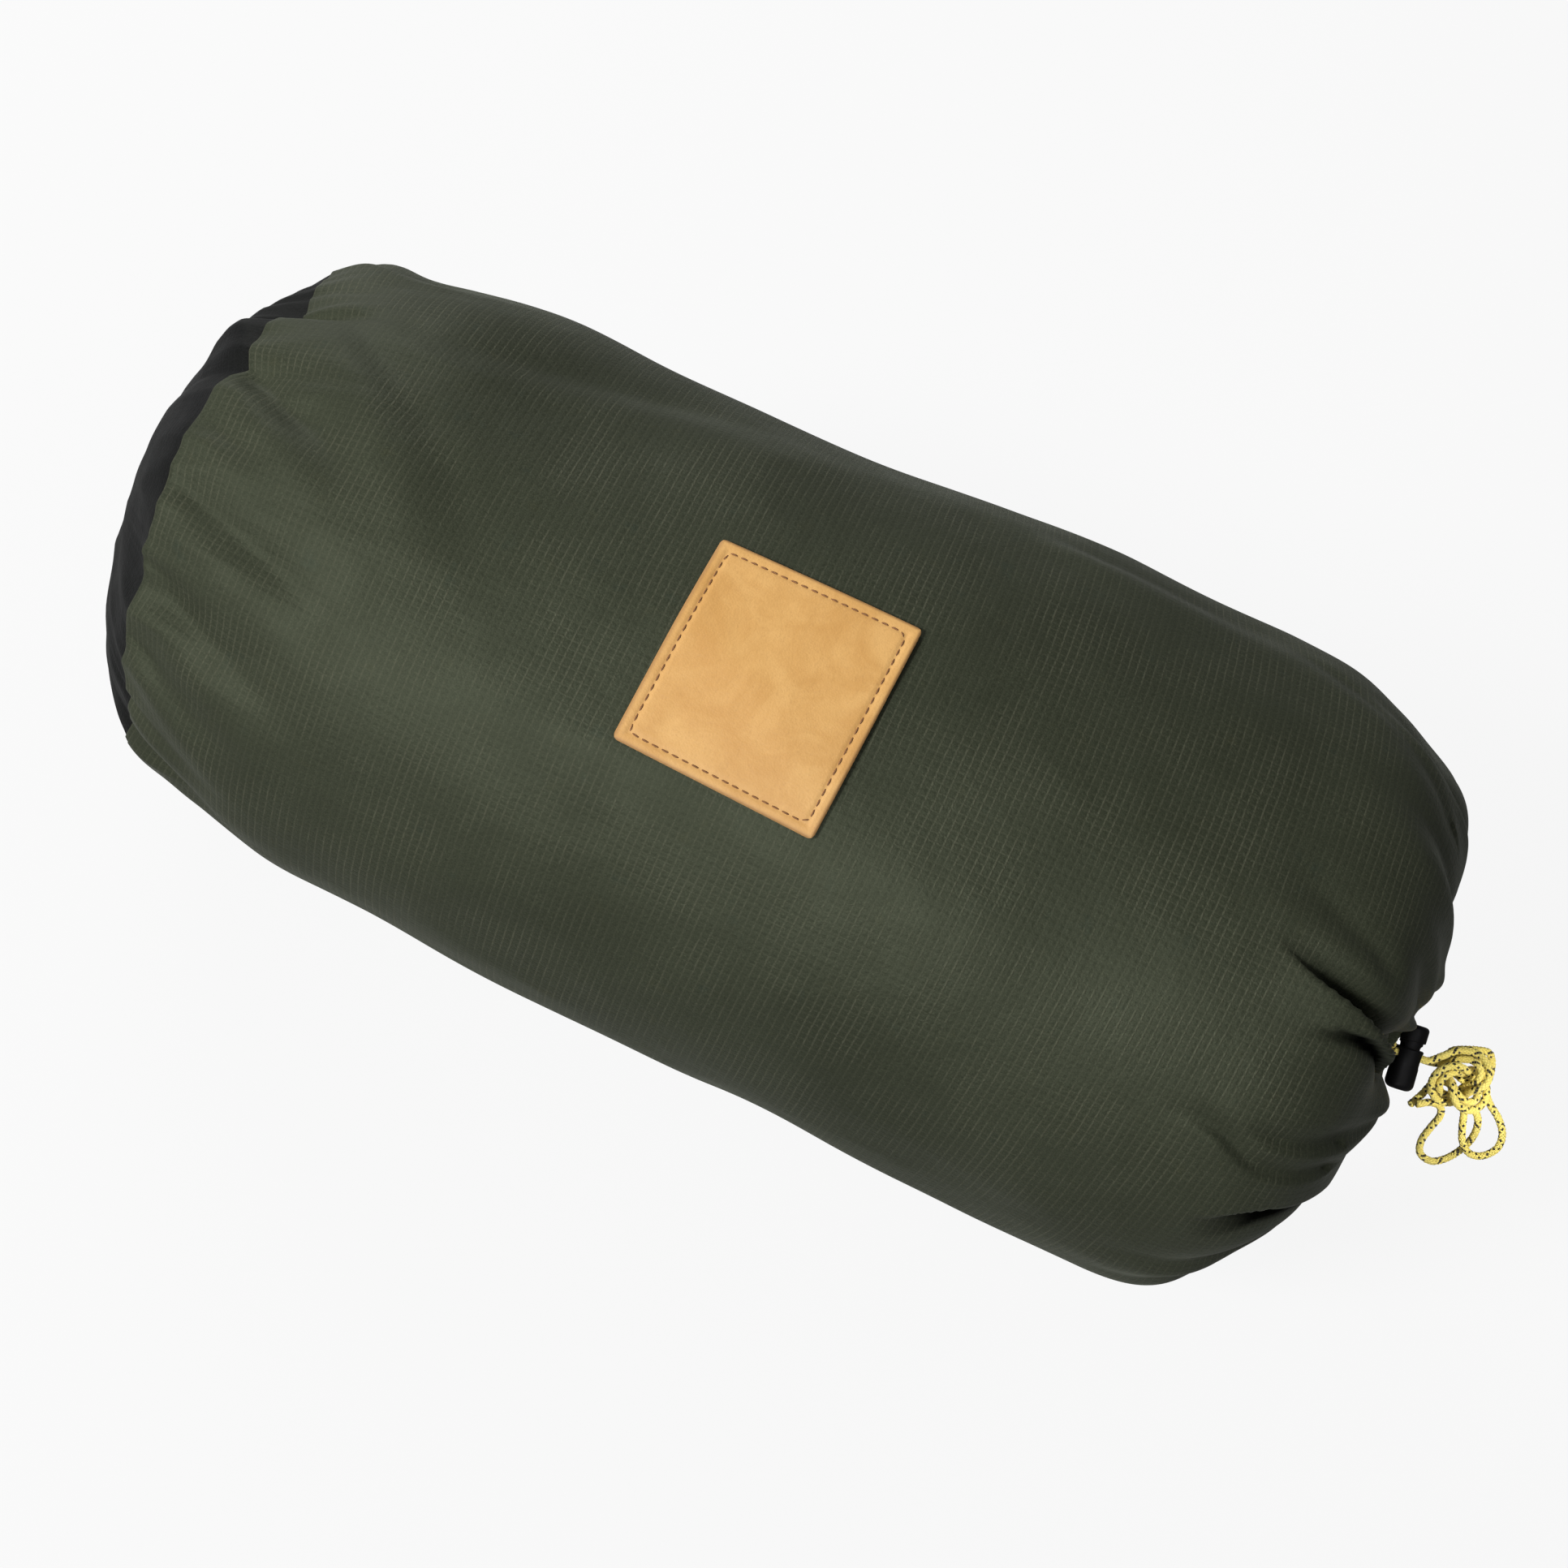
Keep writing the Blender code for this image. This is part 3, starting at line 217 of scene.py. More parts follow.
# Folds that run in from the base seam, and out round the lock: s and angle at both ends, then width and
# depth in millimetres, and the height of the ridge beside the valley as a share of its depth. The ridge
# lies on the side of the larger angle, or where it is negative, of the smaller.
FOLDS = [
    (6, 98, 66, 112, 6.5, 5.0, 0.3),
    (8, 112, 34, 115, 5.0, 1.4, 0.5),
    (8, 126, 92, 136.5, 7.5, 3.8, 0.25),
    (0, 142, 26, 144, 3.5, 1.6, 0.5),
    (10, 146, 84, 156, 8.5, 4.4, 0.25),
    (0, 160, 22, 162, 3.5, 1.4, 0.5),
    (10, 162, 62, 168, 7.0, 3.0, 0.5),
    (0, 77.5, 36, 76.8, 3.5, 3.2, -0.6),
    (0, 66, 34, 64, 4.5, 2.0, -0.5),
    (0, 46, 50, 52, 5.0, 2.6, 0.5),
    (0, 178, 58, 181, 5.0, 2.4, 0.5),
    (0, -170, 70, -160, 7.0, 2.8, 0.5),
    (0, 30, 60, 38, 7.0, 2.8, 0.5),
    (0, 8, 52, 2, 6.5, 2.8, 0.5),
    (2, -20, 66, -30, 7.0, 3.0, 0.5),
    (0, -45, 50, -40, 6.0, 2.6, 0.5),
    (436, 113.5, 388, 106, 5.5, 2.8, 0.4),
    (490, 112, 440, 108, 5.0, 3.0, -0.5),
    (500, 143, 436, 145, 4.5, 3.0, 0.5),
    (484, 182, 392, 185, 6.0, 3.2, 0.5),
    (484, 90, 408, 82, 7.5, 3.0, 0.6),
    (470, 66, 376, 60, 6.0, 2.0, 0.6),
    (486, 40, 396, 34, 7.5, 3.2, 0.6),
    (484, 0, 402, -8, 7.5, 3.4, 0.6),
    (484, -30, 398, -22, 7.0, 3.2, 0.6),
    (484, -60, 404, -66, 7.0, 2.8, 0.6),
    (484, -168, 396, -160, 8.0, 3.2, 0.6),
    (292, 57, 400, 55, 9.0, 2.0, 0.7),
    (80, 76, 190, 56, 9.0, 1.6, 0.7),
    (40, 84, 118, 115, 8.0, 1.6, 0.7),
]
FOLD_ROUNDING = 0.6
FOLD_LEAN = 0.4

# Creases where the cloth on one side hangs over the other: side of the hanging cloth (1 for the larger
# angle), how far it hangs over as a share of the depth, width and depth in millimetres, softness of the
# edge as a share of the width, how dark the painted shade in the valley is from 0 to 1, how far the
# painted shade reaches as a share of the width, and the route as pairs of s and angle
CREASES = [
    (
        (1, 0.3, 6.6, 10.5, 0.3, 0.4, 1.1),
        [(393, 117.4), (402, 118.8), (415, 121), (426, 122.4), (440, 124.3), (460, 127), (500, 128)],
    ),
    (
        (-1, 0.1, 3.2, 5.6, 0.4, 1.0, 1.4),
        [(414, 128), (430, 126.2), (442, 126.4), (452, 127.6), (464, 129.6), (476, 132), (494, 134)],
    ),
    (
        (-1, 0.0, 8.0, 6.5, 0.5, 1.0, 1.75),
        [(414, 167), (424, 165), (432, 162.5), (441, 161), (457, 161), (482, 162), (505, 163)],
    ),
    (
        (1, 0.2, 5.0, 2.4, 0.9, 0.0, 1.0),
        [(386, 150), (396, 149), (408, 149.5), (424, 153), (443, 153.5), (456, 153)],
    ),
    ((1, 0.2, 5.0, 2.6, 0.9, 0.0, 1.0), [(412, 146.5), (424, 147.5), (436, 147.5), (456, 147)]),
    ((-1, 0.1, 6.0, 1.2, 1.6, 0.0, 1.0), [(366, 55), (388, 60), (412, 66), (432, 72), (448, 76)]),
]
CREASE_RIDGE = 0.3

# The base seam, round the sack: angle in degrees, and how far it lies towards the mouth in millimetres
SEAM_LINE = [
    (0, 2.0), (14, 1.0), (30, 4.0), (33, 1.5), (48, 2.6), (57.7, 3.6), (66.4, 4.3), (76.9, 8.7), (78.8, 3.3),
    (83, 1.3), (87.4, 1.7), (92.4, 2.2), (96.4, 5.2), (99.4, 1.2), (105, 0.0), (114, -0.8), (122, -0.6),
    (129.5, 0.9), (137.6, 2.7), (141, 1.5), (145, 4.3), (153.5, 4.2), (160.1, 4.7), (162.5, 6.2), (167, 5.4),
    (174.7, 7.8), (184.4, 9.5), (200, 7.0), (212, 3.5), (218, 5.5), (238, 2.0), (256, 4.8), (260, 2.0),
    (284, 1.0), (298, 4.5), (302, 1.5), (328, 1.6), (346, 4.6), (350, 2.2),
]

# Soft swells and hollows of the filled sack: s and angle of the middle, half length along and round, and
# height, in millimetres and degrees
SWELLS = [
    (216, 43, 45, 50, -3.5), (310, 43, 34, 45, 1.5), (440, 45, 24, 55, -6.0), (464, 50, 14, 45, 4.0),
    (6, 207, 16, 50, 1.5), (40, 207, 30, 50, -4.5), (270, 207, 34, 50, -2.0), (100, 43, 25, 45, 2.0),
    (110, 207, 40, 45, -2.5), (455, 207, 18, 50, -5.0), (16, 40, 16, 45, 5.0), (418, 42, 14, 45, -2.0),
    (492, 128, 30, 17, -12.0), (488, 140, 18, 15, 9.0), (501, 119, 12.5, 9.5, 5.6), (506, 99, 13, 24, 3.0),
]
# The same on the base panel: angle, distance from its middle, size and height
PANEL_SWELL = (math.radians(84), 74 * MM, 34 * MM, 6 * MM)

# Colours, each from its darkest to its lightest
OLIVE = ((0.025, 0.0285, 0.0175), (0.034, 0.0385, 0.0245))
BASE_BLACK = ((0.005, 0.0051, 0.0055), (0.0105, 0.0105, 0.0114))
LEATHER = ((0.51, 0.27, 0.078), (0.60, 0.345, 0.116))
THREAD_BROWN = ((0.13, 0.055, 0.018), (0.26, 0.12, 0.045))
CORD_YELLOW = ((0.84, 0.66, 0.11), (0.95, 0.82, 0.24))
LOCK_BLACK = ((0.0025, 0.0025, 0.0028), (0.005, 0.005, 0.0055))
STEEL = ((0.42, 0.42, 0.43), (0.62, 0.62, 0.63))
POLE_GOLD = ((0.50, 0.33, 0.12), (0.66, 0.46, 0.20))
PEG_SILVER = ((0.52, 0.53, 0.55), (0.70, 0.71, 0.73))
TENT_CREAM = ((0.34, 0.32, 0.24), (0.46, 0.43, 0.33))
WEBBING_BLACK = ((0.012, 0.012, 0.013), (0.022, 0.022, 0.024))
ELASTIC_BLACK = ((0.012, 0.012, 0.013), (0.03, 0.03, 0.032))
FLOOR_GREY = ((0.40, 0.40, 0.40), (0.44, 0.44, 0.44))
# Painted shade: the colour laid into the deepest creases, where the hanging cloth covers them
PAINTED_CREASE_SHADE = (0.002, 0.0022, 0.0018)

# The camera's directions to its right and up, and the point in the middle of its view
CAMERA_SIDEWAYS = Vector((0.903, 0.3514, 0.2461))
CAMERA_UPWARD = Vector((-0.429, 0.7397, 0.5179))
CAMERA_TARGET = Vector((-0.1, -6.06, 105.25)) * MM
CAMERA_DISTANCE = 0.85
CAMERA_LENS = 52.45

# The light: places of the lamps from the point they shine at, then their size and power
LAMP_TARGET = Vector((0, 0, 0.1))
LAMPS = {
    "key": ((-2.3, -2.3, 2.05), 1.0, 176.0),
    "rim": ((-1.1, 1.1, 0.9), 1.0, 16.0),
    "strip": ((-0.05, -1.1, 0.6), 0.5, 19.0),
}
SPOT_PLACE = Vector((0.35, -0.6, 0.95))
SPOT_TARGET = (30 * MM, 10 * MM, -12 * MM)
SPOT_SIZE = 0.06
SPOT_POWER = 85.0
SPOT_ANGLE = 0.06
WORLD_LIGHT = 0.26
WORLD_GLOSS = 0.12
FLOOR_WHITE = 0.9
FLOOR_HALF = 6.0
FLOOR_DROP = 0.2 * MM


def smooth_step(t):
    t = np.clip(t, 0.0, 1.0)
    return t * t * (3 - 2 * t)


def points_at(*axes):
    """Points from their coordinates, whose arrays are spread over one another."""
    return np.stack(np.broadcast_arrays(*axes), axis=-1)


def even_turns(count):
    return np.arange(count) * 2 * math.pi / count


def off_angle(angle, middle):
    """Angle from a middle one, within half a turn to both sides."""
    return (angle - middle + math.pi) % (2 * math.pi) - math.pi


def distances_along(path):
    """Distance of each point of a path from its start."""
    return np.concatenate([[0.0], np.cumsum(np.linalg.norm(np.diff(path, axis=0), axis=1))])


def evenly_spaced(path, spacing):
    """Points along a path, at an even spacing close to this one."""
    along = distances_along(path)
    places = np.linspace(0, along[-1], max(2, round(along[-1] / spacing)) + 1)
    return np.stack([np.interp(places, along, column) for column in path.T], axis=1)


def smooth_path(route, spacing, steps=12):
    """Points at an even spacing along a smooth curve through the route's points."""
    route = np.array([tuple(point) for point in route], float)
    padded = np.vstack([2 * route[0] - route[1], route, 2 * route[-1] - route[-2]])
    a, b, c, d = (padded[i : len(padded) - 3 + i, None, :] for i in range(4))
    t = (np.arange(steps) / steps)[None, :, None]
    cubic = 2 * b + (c - a) * t + (2 * a - 5 * b + 4 * c - d) * t**2 + (3 * b - a - 3 * c + d) * t**3
    return evenly_spaced(np.vstack([0.5 * cubic.reshape(-1, route.shape[1]), route[-1:]]), spacing)


def noise_at(points, size, seed):
    """Smooth noise from -1 to 1 at points, with features of about this size."""
    flat = (points / np.array(size)).reshape(-1, 3) + seed * 17.3
    return np.array([noise.noise(point) for point in flat.tolist()]).reshape(points.shape[:-1])


def rounded_ridges(value, softness):
    """1 where the value passes through 0, falling off on both sides as a ridge with a rounded top."""
    return 1 - np.sqrt(value**2 + softness**2)


def noise_ridges(points, size, seed, softness, level):
    """Ridges with rounded tops where the noise passes through 0, and their height over a level."""
    return rounded_ridges(noise_at(points, size, seed), softness) - level


# The sack's plain shape, and places at its mouth


def barrel_radius(x):
    """Radius of the filled sack without its ends, a little fatter towards the mouth."""
    share = smooth_step((x - SEAM_X - SWELL_START) / SWELL_LENGTH)
    return BASE_END_RADIUS + (MOUTH_END_RADIUS - BASE_END_RADIUS) * share


def axis_height(x):
    return barrel_radius(x) - SAG


def tapered_radius(x):
    """Radius between the base seam and the shoulder."""
    past_taper = np.maximum(0.0, 1 - (x - SEAM_X) / BASE_TAPER)
    return barrel_radius(x) - SEAM_STEP * past_taper**2


def shoulder_radius(x):
    """Radius where the tube rounds over to its mouth."""
    share = np.clip((x - SHOULDER_X) / SHOULDER_LENGTH, 0.0, 1.0)
    return tapered_radius(x) * (1 - share**3) ** (1 / 3)


def on_floor(z, level=0.0):
    """Presses whatever would pass below the level flat onto it, with a rounded edge."""
    above = z - level
    rounded = level + (above + FOOT_ROUNDING) ** 2 / (4 * FOOT_ROUNDING)
    return np.where(above >= FOOT_ROUNDING, z, np.where(above <= -FOOT_ROUNDING, level, rounded))


def round_points(x, radius, angle):
    """Points of the sack's cross-sections, not yet pressed on the floor. The mouth is off the axis."""
    blend = 1 - smooth_step((radius - NECK_RADIUS) / (MOUTH_BLEND_RADIUS - NECK_RADIUS))
    shift = (HEM_RING_RADIUS + EYELET_ABOVE_AXIS) * (x > SHOULDER_X) * blend
    y = np.cos(angle) * radius - DOWN_FRONT.y * shift
    z = axis_height(x) + np.sin(angle) * radius - DOWN_FRONT.z * shift
    return points_at(x, y, z)


def normals_of(points):
    """Unit normals of a wrapped grid, outward where the columns run round X from +Y over the top."""
    around = np.roll(points, -1, axis=1) - np.roll(points, 1, axis=1)
    along = np.gradient(points, axis=0)
    normal = np.cross(around, along)
    return normal / np.maximum(np.linalg.norm(normal, axis=-1, keepdims=True), 1e-12)


def hem_place(x, down, out):
    """A point given from the middle of the hem's eyelet: along X, down over the sack's front, outward."""
    eyelet = Vector((HEM_FRONT_X, 0, float(axis_height(MOUTH_X)))) - DOWN_FRONT * EYELET_ABOVE_AXIS
    return eyelet + Vector((x, 0, 0)) + DOWN_FRONT * down + OUTWARD * out


def lock_place(along, down, out):
    """A point given from the middle of the lock's cross hole: along the cord, down the barrel, outward."""
    middle = Vector((LOCK_X, 0, float(axis_height(MOUTH_X)))) - DOWN_FRONT * LOCK_ABOVE_AXIS
    return middle + ALONG_CORD * along + DOWN_LOCK * down + OUTWARD * out


# Meshes and pieces


def in_scene(name, data):
    """A new object in the scene."""
    made = bpy.data.objects.new(name, data)
    bpy.context.scene.collection.objects.link(made)
    return made


def mesh_of(name, vertices, faces, smooth=True):
    mesh = bpy.data.meshes.new(name)
    mesh.from_pydata(vertices, [], faces)
    if smooth:
        mesh.shade_smooth()
    return mesh


def lay_cloth(mesh, places):
    """Gives each corner of the faces its place on the flat cloth, for the weave."""
    mesh.uv_layers.new(name="cloth").data.foreach_set("uv", places.astype(np.float32).ravel())


def grid_mesh(name, points, cloth=None):
    """A mesh from rows of points that close round. cloth gives where rows and columns lie on flat cloth."""
    rows, columns = points.shape[:2]
    row, column = np.meshgrid(np.arange(rows - 1), np.arange(columns), indexing="ij")
    here = row * columns + column
    after = row * columns + (column + 1) % columns
    faces = points_at(here, after, after + columns, here + columns).reshape(-1, 4)
    mesh = mesh_of(name, points.reshape(-1, 3).tolist(), faces.tolist())
    if cloth is not None:
        along, around = cloth
        u = points_at(along[row], along[row], along[row + 1], along[row + 1])
        v = points_at(around[column], around[column + 1], around[column + 1], around[column])
        lay_cloth(mesh, points_at(u, v))
    return mesh


def frames_along(path):
    """Two unit directions across the path at each of its points, turning as little as possible."""
    ahead = np.gradient(path, axis=0)
    ahead /= np.linalg.norm(ahead, axis=1, keepdims=True)
    first = np.cross(ahead[0], (0.3, 0.2, 0.93))
    sideways = []
    for direction in ahead:
        first = first - direction * np.dot(first, direction)
        first /= np.linalg.norm(first)
        sideways.append(first)
    return np.array(sideways), np.cross(ahead, sideways)


def rings_round(path, radius, sides, directions=None):
    """Rings of points round a path, turning from one direction across it to another."""
    sideways, upward = directions or frames_along(path)
    turn = even_turns(sides)[None, :, None]
    outward = np.cos(turn) * sideways[:, None, :] + np.sin(turn) * upward[:, None, :]
    return path[:, None, :] + radius * outward


def tube_mesh(name, tubes, closed=False, smooth=True):
    """A mesh of tubes, each from its rings of points: closed to a hoop, or with a cap at both ends."""
    vertices, faces = [], []
    for rings in tubes:
        first = len(vertices)
        count, sides = rings.shape[:2]
        vertices.extend(rings.reshape(-1, 3).tolist())
        for i in range(count if closed else count - 1):
            a, b = first + i * sides, first + (i + 1) % count * sides
            for j in range(sides):
                after = (j + 1) % sides
                faces.append((a + j, a + after, b + after, b + j))
        if not closed:
            faces += [tuple(range(first + sides - 1, first - 1, -1)), tuple(range(b, b + sides))]
    return mesh_of(name, vertices, faces, smooth)


def clean_mesh(mesh, fill=False):
    """Joins points that coincide, fills the open ends if asked, and turns all faces outward."""
    shape = bmesh.new()
    shape.from_mesh(mesh)
    bmesh.ops.remove_doubles(shape, verts=shape.verts, dist=0.001 * MM)
    if fill:
        bmesh.ops.holes_fill(shape, edges=shape.edges)
    bmesh.ops.recalc_face_normals(shape, faces=shape.faces)
    shape.to_mesh(mesh)
    shape.free()


def turned_mesh(name, profile, sides, pulled_in=0.0):
    """A closed turned body about Z, from a profile of (radius, height), with points pulled in by so much."""
    angle = even_turns(sides)
    radius, height = np.array(profile).T[..., None]
    radius = radius - pulled_in
    mesh = grid_mesh(name, points_at(radius * np.cos(angle), radius * np.sin(angle), height))
    clean_mesh(mesh)
    return mesh


def arc(radius, height, rounding, first, last, count):
    """Points of a rounded edge about (radius, height), between two angles in degrees."""
    turns = np.radians(np.linspace(first, last, count))
    return [(radius + rounding * math.cos(turn), height + rounding * math.sin(turn)) for turn in turns]


def lying_along_x(mesh, x, height):
    mesh.transform(Matrix.Translation((x, 0, height)) @ Matrix.Rotation(math.pi / 2, 4, "Y"))


def add_piece(name, mesh, finish, body, slot, *nodes):
    """A piece of the scene that rides on a body and stands for CAD nodes."""
    piece = in_scene(name, mesh)
    mesh.materials.append(finish)
    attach(piece, body)
    if nodes:
        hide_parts(*nodes)
    return piece


def thicken(piece):
    """Gives a cloth its thickness, inward."""
    shell = piece.modifiers.new("thickness", "SOLIDIFY")
    shell.thickness = CLOTH_THICKNESS
    shell.offset = -1.0


def apply_modifiers(piece):
    """Turns what the modifiers make into the piece's own mesh."""
    bpy.context.view_layer.update()
    graph = bpy.context.evaluated_depsgraph_get()
    made = bpy.data.meshes.new_from_object(piece.evaluated_get(graph), depsgraph=graph)
    piece.modifiers.clear()
    piece.data = made


def cut_out(piece, shape):
    """Cuts a shape out of a piece."""
    mesh = bpy.data.meshes.new("cutter")
    shape.to_mesh(mesh)
    shape.free()
    cutter = in_scene("cutter", mesh)
    boolean = piece.modifiers.new("cut", "BOOLEAN")
    boolean.object = cutter
    boolean.solver = "EXACT"
    apply_modifiers(piece)
    bpy.data.objects.remove(cutter)
    piece.data.shade_smooth()
    piece.data.set_sharp_from_angle(angle=math.radians(32))


# Shader nodes


def is_socket(value):
    return isinstance(value, bpy.types.NodeSocket)


def node(kind, inputs=None, tree=None, **settings):
    """Adds a shader node. Its inputs are given by socket, as other nodes' outputs or as constants."""
    inputs = inputs or {}
    tree = tree or next(value.id_data for value in inputs.values() if is_socket(value))
    made = tree.nodes.new("ShaderNode" + kind)
    for name, value in settings.items():
        setattr(made, name, value)
    for socket, value in inputs.items():
        if is_socket(value):
            tree.links.new(value, made.inputs[socket])
        else:
            made.inputs[socket].default_value = value
    return made


def maths(operation, *values):
    return node("Math", dict(enumerate(values)), operation=operation).outputs[0]


def product(first, *others):
    for other in others:
        first = maths("MULTIPLY", first, other)
    return first


def off_middle(value):
    """Distance of a value from the middle between two whole numbers, from 0 to 0.5."""
    return maths("ABSOLUTE", maths("SUBTRACT", maths("FRACT", value), 0.5))


def spread(value, low, high, to_low=0.0, to_high=1.0):
    """Maps low..high smoothly to another range."""
    inputs = {"Value": value, "From Min": low, "From Max": high, "To Min": to_low, "To Max": to_high}
    return node("MapRange", inputs, interpolation_type="SMOOTHSTEP").outputs["Result"]


def mix_colour(share, first, second):
    """Mixes two colours, each given as a socket or as red, green and blue."""
    first, second = (value if is_socket(value) else (*value, 1) for value in (first, second))
    return node("Mix", {0: share, 6: first, 7: second}, data_type="RGBA").outputs[2]


def scaled(colour, *factors):
    """A colour made stronger or weaker, by one factor or by one for each channel."""
    return tuple(np.array(colour) * factors)


def noise_node(vector, size, detail=2.0, rough=0.5, distortion=0.0):
    """Noise from 0 to 1 with features of this size in metres."""
    inputs = {"Vector": vector, "Scale": 1 / size, "Detail": detail, "Roughness": rough}
    return node("TexNoise", {**inputs, "Distortion": distortion}).outputs["Fac"]


def bump(height, depth, normal=None):
    """Raises the surface by depth where height is 1."""
    inputs = {"Height": height, "Distance": depth, "Strength": 1.0}
    if normal is not None:
        inputs["Normal"] = normal
    return node("Bump", inputs).outputs["Normal"]


def flat_cloth(shader):
    """The place on the flat cloth."""
    return node("UVMap", tree=shader.id_data, uv_map="cloth").outputs["UV"]


def new_finish(name, roughness=0.5, metallic=0.0, **sockets):
    """A material, its shader and the place on the object. Constants are set on the shader's own sockets."""
    made = bpy.data.materials.new(name)
    made.use_nodes = True
    shader = made.node_tree.nodes["Principled BSDF"]
    for socket, value in {"Roughness": roughness, "Metallic": metallic, **sockets}.items():
        shader.inputs[socket.replace("_", " ")].default_value = value
    return made, shader, node("TexCoord", tree=made.node_tree).outputs["Object"]


def plug_in(shader, **sockets):
    for socket, value in sockets.items():
        shader.id_data.links.new(value, shader.inputs[socket.replace("_", " ")])


# Camera, floor and light


def make_camera():
    """The camera of the photograph: above the front and tilted, so that the sack lies across the frame."""
    data = bpy.data.cameras.new("camera")
    data.sensor_width = 36
    data.lens = CAMERA_LENS
    camera = in_scene("camera", data)
    back = OUTWARD.normalized()
    axes = Matrix((CAMERA_SIDEWAYS, CAMERA_UPWARD, back)).transposed()
    camera.matrix_world = Matrix.Translation(CAMERA_TARGET + back * CAMERA_DISTANCE) @ axes.to_4x4()
    bpy.context.scene.camera = camera


def share_of_white(tree):
    """How white the surroundings are: 1 as seen, directly or through something clear, and less mirrored."""
    light = node("LightPath", tree=tree).outputs
    seen = maths("MULTIPLY", light["Is Glossy Ray"], WORLD_GLOSS)
    seen = maths("MAXIMUM", seen, light["Is Camera Ray"])
    return maths("MAXIMUM", seen, light["Is Transmission Ray"])


def make_world():
    """Plain light from all round, and white behind the object. Glossy surfaces mirror a duller white."""
    world = bpy.data.worlds.new("studio")
    bpy.context.scene.world = world
    world.use_nodes = True
    tree = world.node_tree
    inputs = {"Value": share_of_white(tree), "To Min": WORLD_LIGHT, "To Max": 1.0}
    background = tree.nodes["Background"].inputs
    tree.links.new(node("MapRange", inputs).outputs["Result"], background["Strength"])
    background["Color"].default_value = (1, 1, 1, 1)


def make_floor():
    """A white floor that keeps a faint shadow."""
    corners = [(x * FLOOR_HALF, y * FLOOR_HALF, 0) for x, y in ((-1, -1), (1, -1), (1, 1), (-1, 1))]
    mesh = mesh_of("floor", corners, [(0, 1, 2, 3)], smooth=False)
    floor = in_scene("floor", mesh)
    floor.location.z = -FLOOR_DROP
    finish, shader, place = new_finish("floor", roughness=0.9, Specular_IOR_Level=0.0)
    tree = finish.node_tree
    plug_in(shader, Base_Color=mix_colour(noise_node(place, 0.4), *FLOOR_GREY))
    white = node("Emission", {"Color": (1, 1, 1, 1), "Strength": 1.0}, tree).outputs[0]
    share = product(share_of_white(tree), FLOOR_WHITE)
    mixed = node("MixShader", {0: share, 1: shader.outputs[0], 2: white}).outputs[0]
    tree.links.new(mixed, tree.nodes["Material Output"].inputs["Surface"])
    mesh.materials.append(finish)


def add_lamp(name, place, target, size, power, kind="AREA"):
    data = bpy.data.lights.new(name, kind)
    if kind == "AREA":
        data.shape = "DISK"
        data.size = size
    else:
        data.shadow_soft_size = size / 2
    data.energy = power
    lamp = in_scene(name, data)
    lamp.location = place
    lamp.rotation_euler = (Vector(target) - Vector(place)).to_track_quat("-Z", "Y").to_euler()
    return lamp


def make_light():
    """The lamps round the sack, of which the strip only gives gloss, and one narrow spot on the cord."""
    make_world()
    for name, (place, size, power) in LAMPS.items():
        lamp = add_lamp(name, LAMP_TARGET + Vector(place), LAMP_TARGET, size, power)
        lamp.visible_diffuse = name != "strip"
    cord = lock_place(*SPOT_TARGET)
    spot = add_lamp("spot", cord + SPOT_PLACE, cord, SPOT_SIZE, SPOT_POWER, "SPOT")
    spot.data.spot_size = SPOT_ANGLE
    spot.data.spot_blend = 0.5


# Materials


def ripstop_weave(shader):
    """The place on the flat cloth, a little wavy, and for the yarns round the sack and along it the distance
    from the next thick one and the mask of it."""
    cloth = flat_cloth(shader)
    wander = node("TexNoise", {"Vector": cloth, "Scale": 45.0, "Detail": 1.0}).outputs["Color"]
    wander = node("VectorMath", {0: wander, 1: (0.5, 0.5, 0.5)}, operation="SUBTRACT").outputs[0]
    wander = node("VectorMath", {0: wander, "Scale": 0.0009}, operation="SCALE").outputs[0]
    cloth = node("VectorMath", {0: cloth, 1: wander}, operation="ADD").outputs[0]
    yarns = []
    for distance in node("SeparateXYZ", {0: cloth}).outputs[:2]:
        off = off_middle(maths("DIVIDE", distance, RIPSTOP_PITCH))
        yarns.append((off, spread(off, 0.5 - YARN_WIDTH, 0.5)))
    return cloth, yarns


